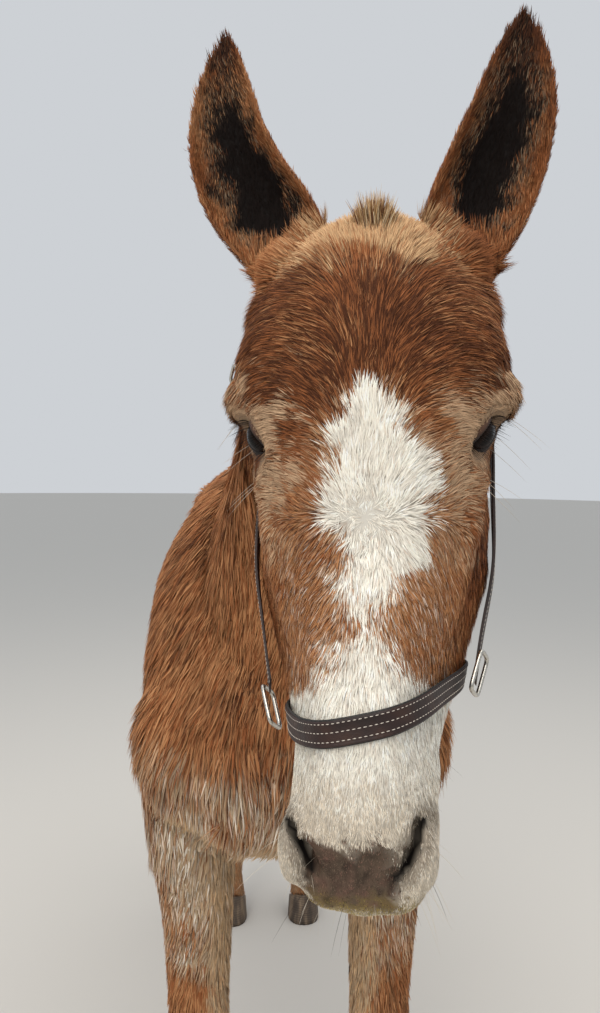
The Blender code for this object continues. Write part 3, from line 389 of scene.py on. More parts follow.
@dataclass(frozen=True)
class HeadFrame:
    """The head's own axes: along the face from the poll, forward out of it, and out to its left."""

    turn: float = -13.0
    nose_forward: float = 13.5
    roll: float = -1.3
    eye_along: float = 0.184
    eye_forward: float = -0.061
    eye_side: float = 0.081

    @property
    def matrix(self) -> Array:
        """Columns: side, back and up, in the world."""
        made = (
            Matrix.Rotation(math.radians(self.turn), 3, "Z")
            @ Matrix.Rotation(math.radians(-self.nose_forward), 3, "X")
            @ Matrix.Rotation(math.radians(self.roll), 3, "Y")
        )
        return np.array(made)

    @property
    def origin(self) -> Array:
        """The poll, worked out from where the two eyes are packed."""
        middle = np.zeros(3)
        for name in ("eye_left", "eye_right"):
            low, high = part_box(name)
            middle += np.array((low + high) / 4)
        return middle - self.matrix @ np.array([0, -self.eye_forward, -self.eye_along])

    def eye(self, left: int) -> Array:
        """An eye's middle, as (along, forward, side), by 1 for the left or -1 for the right."""
        return np.array([self.eye_along, self.eye_forward, left * self.eye_side])

    def local(self, places: Array) -> Array:
        """Places in the world as (along, forward, side)."""
        turned = (places - self.origin) @ self.matrix
        return np.stack([-turned[:, 2], -turned[:, 1], turned[:, 0]], axis=1)

    def directions(self, local: Array) -> Array:
        """Directions given as (along, forward, side), in the world."""
        return np.stack([local[..., 2], -local[..., 1], -local[..., 0]], axis=-1) @ self.matrix.T

    def local_directions(self, world: Array) -> Array:
        """Directions in the world as (along, forward, side)."""
        turned = world @ self.matrix
        return np.stack([-turned[:, 2], -turned[:, 1], turned[:, 0]], axis=1)

    def place(self, along: float, forward: float, side: float) -> Vector:
        """One place of the head, in the world."""
        return Vector(self.origin + self.matrix @ np.array([side, -forward, -along]))

    def direction(self, along: float, forward: float, side: float) -> Vector:
        """One direction of the head, in the world."""
        return Vector(self.matrix @ np.array([side, -forward, -along])).normalized()


@dataclass
class Sites:
    """Places on the skin, with what the coat needs to know of each."""

    places: Array
    normals: Array
    regions: Array
    head: Array
    head_normals: Array
    ear_share: Array
    ear_inside: Array
    ear_rim: Array
    ear_axis: Array
    ear_turned: Array

    def chosen(self, keep: Array) -> "Sites":
        """Only the stated rows."""
        return Sites(*(getattr(self, name)[keep] for name in self.__dataclass_fields__))

    def among(self, *regions: Region) -> Array:
        """Which rows lie in one of these regions."""
        return np.isin(self.regions, [REGIONS.index(region) for region in regions])


@dataclass
class EarMap:
    """How far up an ear a place lies, and whether it lines the cup."""

    node: str
    opening: Array
    bins: int = 14
    root: Array = field(init=False)
    axis: Array = field(init=False)
    length: float = field(init=False)
    levels: Array = field(init=False)
    middles: Array = field(init=False)

    def __post_init__(self) -> None:
        """Reads the ear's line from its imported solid."""
        places = solid_corners(self.node)
        tip = places[np.argmax(places[:, 2])]
        self.root = places[places[:, 2] < np.quantile(places[:, 2], 0.12)].mean(axis=0)
        self.axis = unit(tip - self.root)
        self.length = float(np.linalg.norm(tip - self.root))
        share = (places - self.root) @ self.axis / self.length
        edges = np.linspace(-0.05, 1.0, self.bins + 1)
        self.levels = (edges[1:] + edges[:-1]) / 2
        middles = []
        for low, high in zip(edges, edges[1:]):
            near = (share >= low - 0.03) & (share <= high + 0.03)
            middles.append(places[near].mean(axis=0) if near.any() else tip)
        self.middles = np.array(middles)

    def read(self, places: Array, normals: Array) -> tuple[Array, Array, Array]:
        """Tells where places lie on the ear.

        Args:
            places: Places in the world.
            normals: The skin's normals there.

        Returns:
            The share of the ear's length, how far each place belongs to the inside of the cup, and how far
            round it lies from the opening, in radians.
        """
        share = (places - self.root) @ self.axis / self.length
        middle = sampled(share, self.levels, self.middles)
        inward = dots(normals, unit(middle - places))
        off = places - middle
        off = unit(off - (off @ self.axis)[:, None] * self.axis)
        opening = unit(self.opening - self.axis * (self.opening @ self.axis))
        turned = np.arccos(np.clip(off @ opening, -1, 1))
        return np.clip(share, 0, 1), smoothstep(-0.15, 0.35, inward), turned


@dataclass(frozen=True)
class EyeSeat:
    """Where an eye lies in the head, which way it looks, and how wide it opens."""

    head_frame: HeadFrame
    left: int
    half_long: float = 20.0 * MM
    half_open: float = 7.6 * MM
    radius: float = 20.5 * MM

    @property
    def side(self) -> str:
        """The side's word in the names of pieces."""
        return "left" if self.left > 0 else "right"

    @property
    def centre(self) -> Array:
        """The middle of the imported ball."""
        low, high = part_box(f"eye_{self.side}")
        return np.array((low + high) / 2)

    @property
    def axes(self) -> tuple[Array, Array, Array]:
        """The way the eye looks, the way to its inner corner, and the way to its upper lid."""
        out = unit(np.array(self.head_frame.direction(0.35, 0.45, self.left * 0.82)))
        inner = np.array(self.head_frame.direction(0.79, 0.25, self.left * -0.55))
        inner = unit(inner - out * (inner @ out))
        over = np.cross(out, inner)
        return out, inner, over * np.sign(over[2])

    def seen(self, places: Array) -> tuple[Array, Array, Array, Array]:
        """Reads places from the eye.

        Args:
            places: Places in the world.

        Returns:
            How far each lies towards the inner corner, towards the upper lid and out, and from the centre.
        """
        out, inner, over = self.axes
        off = places - self.centre
        return off @ inner, off @ over, off @ out, np.linalg.norm(off, axis=1)

    def opening(self, x: Array, y: Array, wider: float) -> Array:
        """How far out places lie, where 1 is the rim of an opening that much wider than the lids'."""
        return np.hypot(x / (self.half_long + wider), y / (self.half_open + wider))

    def ring(self, x: Array, y: Array) -> Array:
        """The size of the oval fold of skin that each place lies on, as half its height."""
        return np.hypot(x * 0.62, y)

    def opened(self, places: Array) -> Array:
        """Sinks the skin under the ball inside the lids, and folds it in rings round them.

        Args:
            places: The skin's vertices.

        Returns:
            The same vertices, moved.
        """
        x, y, z, reach = self.seen(places)
        near = (z > 0) & (reach < 0.065)
        under = self.radius - 3.5 * MM
        sunk = self.centre + (places - self.centre) * (under / np.maximum(reach, 1e-6))[:, None]
        share = (1 - smoothstep(0.88, 1.12, self.opening(x, y, 3 * MM))) * near * (reach > under)
        ring = self.ring(x, y)
        fold = np.cos((ring - 17 * MM) / (6.2 * MM) * 2 * math.pi)
        folded = smoothstep(0.011, 0.016, ring) * (1 - smoothstep(0.026, 0.040, ring)) * near
        height = 1.0 * MM * fold * folded * (0.45 + 0.55 * smoothstep(-5, 8, y / MM))
        lifted = places + self.axes[0] * height[:, None]
        return lifted * (1 - share[:, None]) + sunk * share[:, None]


@dataclass
class Hide:
    """One skin for all the solids of flesh, lying inside them by the depth of the coat."""

    head_frame: HeadFrame
    seats: list[EyeSeat]
    voxel: float = 3.2 * MM
    overlap: float = 0.6 * MM
    triangles: int = 172_000
    body_rounds: int = 70
    face_rounds: int = 16
    fine_rounds: int = 5
    trunk_depth: float = 5.5 * MM
    leg_depth: float = 3.0 * MM
    head_depth: float = 2.2 * MM
    ear_depth: float = 1.2 * MM

    def build(self, material: Material) -> Object:
        """Fuses, smooths and insets the skin.

        Args:
            material: The skin's finish.

        Returns:
            The skin object, which replaces the solids of flesh.
        """
        fused = self._fused(material)
        self._smoothed(fused)
        thinned = self._thinned(fused)
        places, normals, _ = mesh_arrays(thinned)
        regions = self.regions_of(places)
        depth = self._depth(places, regions)
        places = places - normals * depth[:, None]
        for seat in self.seats:
            places = seat.opened(places)
        thinned.data.vertices.foreach_set("co", places.astype(np.float32).ravel())
        thinned.data.update()
        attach(thinned, BODY)
        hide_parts(*(region.value for region in REGIONS))
        log.info("hide: %d faces", len(thinned.data.polygons))
        return thinned

    def _fused(self, material: Material) -> Object:
        """The solids of flesh, swollen a hair so that they meet, remeshed as one surface."""
        joined = bmesh.new()
        for region in REGIONS:
            bm = bmesh.new()
            bm.from_mesh(bpy.data.objects[region.value].data)
            bmesh.ops.remove_doubles(bm, verts=bm.verts, dist=1e-5)
            bm.normal_update()
            for vert in bm.verts:
                vert.co += vert.normal * self.overlap
            part = bpy.data.meshes.new("part")
            bm.to_mesh(part)
            bm.free()
            joined.from_mesh(part)
            bpy.data.meshes.remove(part)
        thing = object_from_bmesh(joined, "hide", material)
        remesh = thing.modifiers.new("skin", "REMESH")
        remesh.mode = "VOXEL"
        remesh.voxel_size = self.voxel
        self._apply(thing)
        return thing

    @staticmethod
    def _apply(thing: Object) -> None:
        """Makes an object's modifiers its mesh."""
        graph = bpy.context.evaluated_depsgraph_get()
        mesh = bpy.data.meshes.new_from_object(thing.evaluated_get(graph))
        old = thing.data
        thing.modifiers.clear()
        thing.data = mesh
        bpy.data.meshes.remove(old)

    def _detail(self, places: Array) -> tuple[Array, Array]:
        """Which vertices belong to the face, and which to its fine forms."""
        local = self.head_frame.local(places)
        along, forward, _ = local.T
        face = smoothstep(-0.33, -0.24, forward) * smoothstep(1.15, 1.22, places[:, 2])
        eyes = [np.linalg.norm(local - np.array([0.191, -0.052, s * 0.097]), axis=1) for s in (-1, 1)]
        near_eye = 1 - smoothstep(0.022, 0.034, np.minimum(*eyes))
        beside, _ = nostril_reach(local)
        near_nostril = 1 - smoothstep(0.006, 0.012, beside)
        lip_line = np.abs(forward + 0.098 + 0.28 * (0.556 - along))
        mouth = smoothstep(0.44, 0.46, along) * (1 - smoothstep(0.005, 0.012, lip_line))
        ear = smoothstep(0.0, 0.02, -along - 0.02)
        fine = np.clip(near_eye + near_nostril + mouth + ear * 0.9, 0, 1)
        return face, fine

    def _smoothed(self, thing: Object) -> None:
        """Takes the facets out of the skin without thinning the legs."""
        mesh = thing.data
        places, _, _ = mesh_arrays(thing)
        face, fine = self._detail(places)
        edges = np.empty(len(mesh.edges) * 2, np.int32)
        mesh.edges.foreach_get("vertices", edges)
        a, b = edges.reshape(-1, 2).T
        count = len(places)
        share = 1 / np.maximum(np.bincount(a, minlength=count) + np.bincount(b, minlength=count), 1)
        on_face = self.face_rounds * (1 - fine) + self.fine_rounds * fine
        limit = self.body_rounds * (1 - face) + face * on_face
        for step in range(self.body_rounds):
            moving = (limit > step).astype(float)
            for factor in (0.5, -0.515):
                for axis in range(3):
                    values = places[:, axis]
                    total = np.bincount(a, values[b], count) + np.bincount(b, values[a], count)
                    places[:, axis] = values + factor * moving * (total * share - values)
        mesh.vertices.foreach_set("co", places.astype(np.float32).ravel())
        mesh.update()

    def _thinned(self, thing: Object) -> Object:
        """Fewer, larger faces on the body, with the face kept fine."""
        places, _, triangles = mesh_arrays(thing)
        face, _ = self._detail(places)
        group = thing.vertex_groups.new(name="body")
        body = np.flatnonzero(face < 0.5)
        group.add(body.tolist(), 1.0, "REPLACE")
        decimate = thing.modifiers.new("thin", "DECIMATE")
        decimate.ratio = self.triangles / len(triangles)
        decimate.vertex_group = group.name
        self._apply(thing)
        thing.vertex_groups.clear()
        for polygon in thing.data.polygons:
            polygon.use_smooth = True
        return thing

    @staticmethod
    def regions_of(places: Array) -> Array:
        """The number of the solid nearest to each place."""
        corners, triangles, owners = [], [], []
        for number, region in enumerate(REGIONS):
            own, _, faces = mesh_arrays(bpy.data.objects[region.value])
            triangles.append(faces + sum(len(c) for c in corners))
            corners.append(own)
            owners += [number] * len(faces)
        tree = BVHTree.FromPolygons(np.concatenate(corners).tolist(), np.concatenate(triangles).tolist())
        return np.array([owners[tree.find_nearest(place)[2]] for place in places.tolist()])

    def _depth(self, places: Array, regions: Array) -> Array:
        """How deep the skin lies under the tips of the coat, at each place."""
        on_legs, on_ears = (np.isin(regions, [REGIONS.index(r) for r in kind]) for kind in (LEGS, EARS))
        on_head = regions == REGIONS.index(Region.HEAD)
        high = smoothstep(0.30, 0.80, places[:, 2]) * ~on_legs
        depth = self.leg_depth + (self.trunk_depth - self.leg_depth) * high
        depth[on_head] = self.head_depth
        depth[on_ears] = self.ear_depth
        along = self.head_frame.local(places)[:, 0]
        return depth * (1 - 0.7 * smoothstep(0.40, 0.46, along) * on_head)


@dataclass
class Dye:
    """A linear colour for each place, into which others are mixed.

    With draws, each tuft takes one colour or the other. Without them, the skin takes their mixture.
    """

    colour: Array
    rng: Generator | None

    def mix(self, hexadecimal: str, chance: Array, crisp: float = 4.0) -> None:
        """Mixes a colour in.

        Args:
            hexadecimal: The colour.
            chance: How likely it is at each place.
            crisp: How sharply one tuft differs from the next.
        """
        if self.rng is None:
            share = np.clip(chance, 0, 1)
        else:
            draws = self.rng.random(len(chance))
            share = np.clip((chance - draws) * crisp + 0.5, 0, 1) * smoothstep(0.0, 0.12, chance)
        self.colour += (linear(hexadecimal) - self.colour) * share[:, None]


@dataclass(frozen=True)
class Blaze:
    """The blaze's outline down the face: (along the face, left edge, right edge) at each station."""

    edges: tuple[Triple, ...] = (
        (0.160, 0.003, -0.001),
        (0.172, 0.009, -0.005),
        (0.188, 0.017, -0.013),
        (0.205, 0.033, -0.018),
        (0.221, 0.048, -0.020),
        (0.245, 0.046, -0.022),
        (0.266, 0.045, -0.021),
        (0.290, 0.040, -0.015),
        (0.308, 0.028, -0.010),
        (0.326, 0.014, -0.008),
        (0.345, 0.007, -0.006),
        (0.362, 0.017, -0.015),
        (0.385, 0.045, -0.040),
        (0.402, 0.085, -0.085),
        (0.430, 0.300, -0.300),
    )
    top: float = 0.158
    softness: tuple[tuple[float, float], ...] = (
        (0.16, 0.004),
        (0.20, 0.005),
        (0.25, 0.009),
        (0.30, 0.010),
        (0.36, 0.018),
        (0.42, 0.012),
    )

    def read(self, along: Array, side: Array, warp: Array) -> tuple[Array, Array]:
        """Tells how far places of the face belong to the blaze.

        Args:
            along: How far down the face they lie.
            side: How far to its left.
            warp: How much the outline wanders there.

        Returns:
            Their share in the blaze, and in a wider halo round it.
        """
        stations, left, right = np.array(self.edges).T
        inside = np.interp(along, stations, left) - side, side - np.interp(along, stations, right)
        soft = np.interp(along, *np.array(self.softness).T)
        blaze = smoothstep(self.top, self.top + 0.018, along + warp)
        for depth in inside:
            blaze = blaze * smoothstep(-1, 1, (depth + warp) / soft)
        halo = smoothstep(-0.022, 0.0, np.minimum(*inside) + warp) * smoothstep(self.top, 0.19, along)
        return blaze, halo


@dataclass(frozen=True)
class CoatColours:
    """The mule's markings: sorrel, with a cream blaze and muzzle, buff brows and pale underparts."""

    fore_y: float
    blaze: Blaze = Blaze()
    sorrel: str = "#935a36"
    liver: str = "#53301e"
    light_sorrel: str = "#b58157"
    buff: str = "#cda97f"
    cream: str = "#fdf7ea"
    muzzle: str = "#e2d5c1"
    nose_skin: str = "#756353"
    nose_dark: str = "#463930"
    nose_pink: str = "#8d6a5c"
    nostril_rim: str = "#8d8070"
    stain: str = "#ab9450"
    # Painted shade inside the nostrils' slits.
    slit: str = "#15100e"
    tear: str = "#2b1b13"
    eye_ring: str = "#c6a584"
    # The ear cup's dark skin, with painted shade deepest inside it.
    cup: str = "#150d0a"
    cup_hair: str = "#8f7d67"
    grey_under: str = "#bda587"
    # Pale patches over, round and under each eye: (along, forward, out to the side), reach and strength.
    eye_patches: tuple[tuple[Triple, float, float], ...] = (
        ((0.160, -0.055, 0.112), 0.042, 0.80),
        ((0.188, -0.040, 0.082), 0.054, 0.86),
        ((0.222, -0.034, 0.066), 0.050, 0.66),
        ((0.262, -0.045, 0.076), 0.046, 0.46),
    )
    tear_line: tuple[Triple, Triple] = ((0.200, -0.042, 0.078), (0.238, -0.036, 0.080))

    def tint(self, sites: Sites, rng: Generator | None) -> Array:
        """Colours places on the skin.

        Args:
            sites: The places.
            rng: Draws for tufts, or None for the skin.

        Returns:
            A linear colour for each place.
        """
        count = len(sites.places)
        patches = mottle(sites.places, 0.16, 11)
        streaks = mottle(sites.places * (1, 1, 0.3), 0.030, 12)
        dye = Dye(np.tile(linear(self.sorrel), (count, 1)), rng)
        dye.mix(self.liver, 0.24 + 0.22 * patches + 0.14 * streaks)
        dye.mix(self.light_sorrel, 0.20 - 0.20 * patches + 0.16 * streaks)
        self._body(sites, dye)
        self._head(sites, dye)
        self._nose(sites, dye)
        self._ears(sites, dye)
        return dye.colour if rng is None else dye.colour * rng.uniform(0.90, 1.10, count)[:, None]

    def _body(self, sites: Sites, dye: Dye) -> None:
        """Pale belly and inner legs, and a cream lower chest."""
        x, y, z = sites.places.T
        outward = sites.normals[:, 0] * np.sign(x)
        off_head = ~sites.among(Region.HEAD, *EARS)
        wander = 0.05 * mottle(sites.places, 0.11, 21)
        front = 1 - smoothstep(self.fore_y + 0.02, self.fore_y + 0.22, y)
        dye.mix(self.light_sorrel, 0.32 * off_head, 1.5)
        chest = front * smoothstep(0.55, 0.74, z + wander) * (1 - smoothstep(0.80, 1.08, z + wander))
        chest *= 1 - 0.55 * smoothstep(0.15, 0.75, outward) * smoothstep(0.10, 0.20, np.abs(x) + wander)
        dye.mix(self.grey_under, 0.78 * chest * off_head, 1.3)
        dye.mix(self.cream, 0.16 * chest * off_head, 2.0)
        under = smoothstep(0.25, 0.8, -sites.normals[:, 2]) * (z > 0.55) * (z < 1.05)
        inner = smoothstep(0.1, 0.7, -outward) * (z < 0.80) * (np.abs(x) < 0.22)
        low = np.clip(under + inner * (0.55 + 0.45 * smoothstep(0.2, 0.5, z)), 0, 1) * off_head
        dye.mix(self.grey_under, 0.8 * low, 1.5)
        dye.mix(self.buff, 0.35 * low, 1.5)
        dye.mix(self.light_sorrel, 0.40 * (1 - smoothstep(0.30, 0.62, z)) * off_head, 1.5)

    def _head(self, sites: Sites, dye: Dye) -> None:
        """The blaze, the dark brow, the pale poll, the eyes' rings and tear lines, and the muzzle."""
        along, forward, side = sites.head.T
        on_head = sites.among(Region.HEAD)
        warp = 0.006 * mottle(sites.head, 0.030, 31) + 0.003 * mottle(sites.head, 0.010, 32)
        blaze, halo = self.blaze.read(along, side, warp)
        dye.mix(self.eye_ring, 0.42 * halo * on_head, 2.0)
        brow = (1 - smoothstep(0.15, 0.24, along)) * smoothstep(0.035, 0.07, along)
        dye.mix(self.liver, 0.46 * on_head * brow)
        poll = (1 - smoothstep(0.035, 0.085, along + 0.02 * mottle(sites.head, 0.04, 33))) * on_head
        dye.mix(self.buff, 0.80 * poll * (1 - smoothstep(0.03, 0.08, np.abs(side))), 2.0)
        folded = np.stack([along, forward, np.abs(side)], axis=1)
        for centre, reach, strength in self.eye_patches:
            near = np.linalg.norm(folded - np.array(centre), axis=1) + 2 * warp
            dye.mix(self.eye_ring, strength * (1 - smoothstep(0.25 * reach, reach, near)) * on_head, 2.0)
        share, off = to_segment(folded, *np.array(self.tear_line))
        wet = 1 - smoothstep(0.0012, 0.0030, np.linalg.norm(off * (1, 0.4, 1), axis=1))
        dye.mix(self.tear, 0.85 * wet * (1 - 0.6 * share) * on_head)
        roan = smoothstep(0.22, 0.32, along) * (1 - smoothstep(0.055, 0.085, np.abs(side))) * on_head
        dye.mix(self.light_sorrel, 0.50 * roan)
        dye.mix(self.cream, 0.08 * roan)
        dye.mix(self.cream, blaze * on_head)
        jaw = smoothstep(0.1, 0.6, -sites.head_normals[:, 1]) * smoothstep(0.20, 0.36, along) * on_head
        dye.mix(self.buff, 0.6 * jaw)
        dye.mix(self.muzzle, 0.85 * smoothstep(0.43, 0.49, along + warp) * on_head)

    @staticmethod
    def nose_patch(head_places: Array) -> Array:
        """How far places belong to the bare skin between the nostrils."""
        along, forward, side = head_places.T
        fine = mottle(head_places, 0.012, 41)
        wide = 0.029 + 0.004 * fine
        patch = smoothstep(0.490, 0.501, along + 0.004 * fine)
        patch *= 1 - smoothstep(wide, wide + 0.010, np.abs(side + 0.006))
        return patch * (1 - smoothstep(0.542, 0.552, along)) * (forward > -0.09)

    def _nose(self, sites: Sites, dye: Dye) -> None:
        """The bare mottled skin between the nostrils, grey rims, the stained lip and painted shade inside
        the slits.
        """
        on_head = sites.among(Region.HEAD)
        patch = self.nose_patch(sites.head) * on_head
        beside, deep = nostril_reach(sites.head)
        rim = (1 - smoothstep(0.006, 0.016, beside)) * (deep < 0.05) * on_head
        dye.mix(self.nostril_rim, 0.60 * rim, 2.0)
        dye.mix(self.nose_skin, 1.13 * patch)
        dye.mix(self.nose_dark, patch * (0.34 + 0.55 * mottle(sites.head, 0.005, 42)))
        dye.mix(self.nose_pink, patch * (0.10 + 0.35 * mottle(sites.head, 0.006, 43)))
        lip = smoothstep(0.533, 0.545, sites.head[:, 0] + 0.004 * mottle(sites.head, 0.012, 41)) * on_head
        dye.mix(self.stain, 0.50 * lip)
        # Painted shade: near black inside each nostril's slit.
        dye.mix(self.slit, (1 - smoothstep(0.0016, 0.0044, beside)) * (deep < 0.06) * on_head)

    def _ears(self, sites: Sites, dye: Dye) -> None:
        """Red-brown backs, dark tips, dark cups with painted shade deepest inside them, and a pale fringe
        inside the near rim.
        """
        on_ear = sites.among(*EARS)
        wander = mottle(sites.places, 0.03, 45)
        inside = sites.ear_inside * on_ear
        lining = inside * smoothstep(1.35, 1.75, sites.ear_turned + 0.12 * wander)
        shaded_hollow = inside * smoothstep(1.50, 2.05, sites.ear_turned + 0.15 * wander)
        shaded_hollow = shaded_hollow * (1 - smoothstep(0.58, 0.84, sites.ear_share + 0.05 * wander))
        high = smoothstep(0.60, 0.95, sites.ear_share)
        tip = smoothstep(0.78, 0.98, sites.ear_share) * on_ear
        dye.mix(self.liver, 0.55 * tip + 0.45 * inside * high)
        dye.mix(self.cup_hair, 0.42 * lining * (1 - 0.8 * high), 2.0)
        # The cup's dark skin, and painted shade where the cup lies deepest.
        dye.mix(self.cup, 0.56 * lining, 2.0)
        dye.mix(self.cup, 1.2 * shaded_hollow)


@dataclass(frozen=True)
class HairLie:
    """Which way the hair lies, as directions that run along the skin."""

    head_frame: HeadFrame
    fore_y: float
    hind_y: float
    whorl: tuple[float, float] = (0.266, 0.003)

    def run(self, sites: Sites) -> Array:
        """Finds the lie of the coat.

        Args:
            sites: The places.

        Returns:
            A unit direction along the skin at each place.
        """
        way = self._body(sites)
        on_head = sites.among(Region.HEAD)
        way[on_head] = self._head(sites)[on_head]
        on_ear = sites.among(*EARS)
        way[on_ear] = self._ears(sites)[on_ear]
        way = way - sites.normals * dots(way, sites.normals)[:, None]
        return unit(way)

    def _body(self, sites: Sites) -> Array:
        """Down the legs and chest, back and down along the trunk, down the neck."""
        x, y, z = sites.places.T
        trunk = smoothstep(self.fore_y - 0.02, self.fore_y + 0.30, y) * smoothstep(0.62, 0.85, z)
        rump = smoothstep(self.hind_y - 0.25, self.hind_y + 0.10, y)
        side_on = smoothstep(0.2, 0.9, np.abs(sites.normals[:, 0]))
        back = trunk * (1 - 0.55 * rump)
        down = (1 - trunk) + trunk * (0.25 + 0.35 * side_on + 0.55 * rump)
        swirl = 0.16 * mottle(sites.places, 0.22, 51)
        outward = 0.16 * np.sign(x) * (1 - trunk) * (np.abs(x) > 0.02)
        return unit(np.stack([outward + swirl, 0.9 * back + 0.12 * (1 - trunk), -down], axis=1))

    def _head(self, sites: Sites) -> Array:
        """Out from the whorl between the eyes: up and over the brows, and down the nose."""
        along, forward, side = sites.head.T
        offset = side - self.whorl[1]
        sign = np.sign(offset) + (offset == 0)
        far = np.abs(offset)
        above = 1 - smoothstep(-0.012, 0.012, along - self.whorl[0])
        up = np.interp(far, [0.0, 0.010, 0.03, 0.06, 0.085, 0.12], [1.0, 0.95, 0.62, 0.22, -0.25, -0.9])
        up = up + 0.9 * (1 - smoothstep(0.02, 0.085, along))
        out_above = smoothstep(0.0, 0.048, far) * 0.95
        near = np.hypot(offset, along - self.whorl[0])
        splay = np.interp(along, [0.27, 0.30, 0.34, 0.40, 0.45, 0.52], [1.6, 1.5, 1.3, 0.55, 0.35, 0.3])
        out_below = smoothstep(0.0, 0.045, far) * 0.75 * splay * (1 - 0.75 * smoothstep(0.05, 0.10, far))
        radial = unit(np.stack([along - self.whorl[0], offset], axis=1))
        at_whorl = 1 - smoothstep(0.003, 0.013, near)
        down_way = above * -up + (1 - above) * 1.0
        out_way = above * out_above + (1 - above) * out_below
        down_way = down_way * (1 - at_whorl) + radial[:, 0] * at_whorl
        out_way = out_way * (1 - at_whorl) + radial[:, 1] * sign * at_whorl
        local = np.stack([down_way, np.zeros(len(far)), out_way * sign], axis=1)
        cheek = smoothstep(0.35, 0.85, np.abs(sites.head_normals[:, 2])) * smoothstep(0.085, 0.13, -forward)
        local = local * (1 - cheek[:, None]) + np.array([0.9, -0.42, 0.0]) * cheek[:, None]
        local[:, 0] += 0.13 * mottle(sites.head, 0.05, 52)
        local[:, 2] += 0.13 * mottle(sites.head, 0.04, 53)
        loose = 0.45 * (1 - smoothstep(0.010, 0.045, near))
        local[:, 0] += loose * mottle(sites.head, 0.009, 54)
        local[:, 2] += loose * mottle(sites.head, 0.008, 55)
        for left in (-1, 1):
            away = unit(sites.head - self.head_frame.eye(left))
            away = unit(away - sites.head_normals * dots(away, sites.head_normals)[:, None])
            reach = np.linalg.norm(sites.head - np.array([0.190, -0.052, left * 0.097]), axis=1)
            close = 1 - smoothstep(0.020, 0.036, reach)
            towards = np.minimum(dots(local, away), 0)
            local = local + away * ((0.45 - 1.2 * towards) * close)[:, None]
        return self.head_frame.directions(unit(local))

    def _ears(self, sites: Sites) -> Array:
        """Up the ear, leaning out over its rims."""
        forward = self.head_frame.directions(np.array([0.0, 0.275, 0.0]))
        return unit(sites.ear_axis + forward * sites.ear_rim[:, None])


@dataclass(frozen=True)
class TuftStyle:
    """Sizes of the tufts of one part of the coat."""

    length: float
    width: float
    lift: float
    per_square_metre: float
    clump: float = 0.010
    gather: float = 0.35


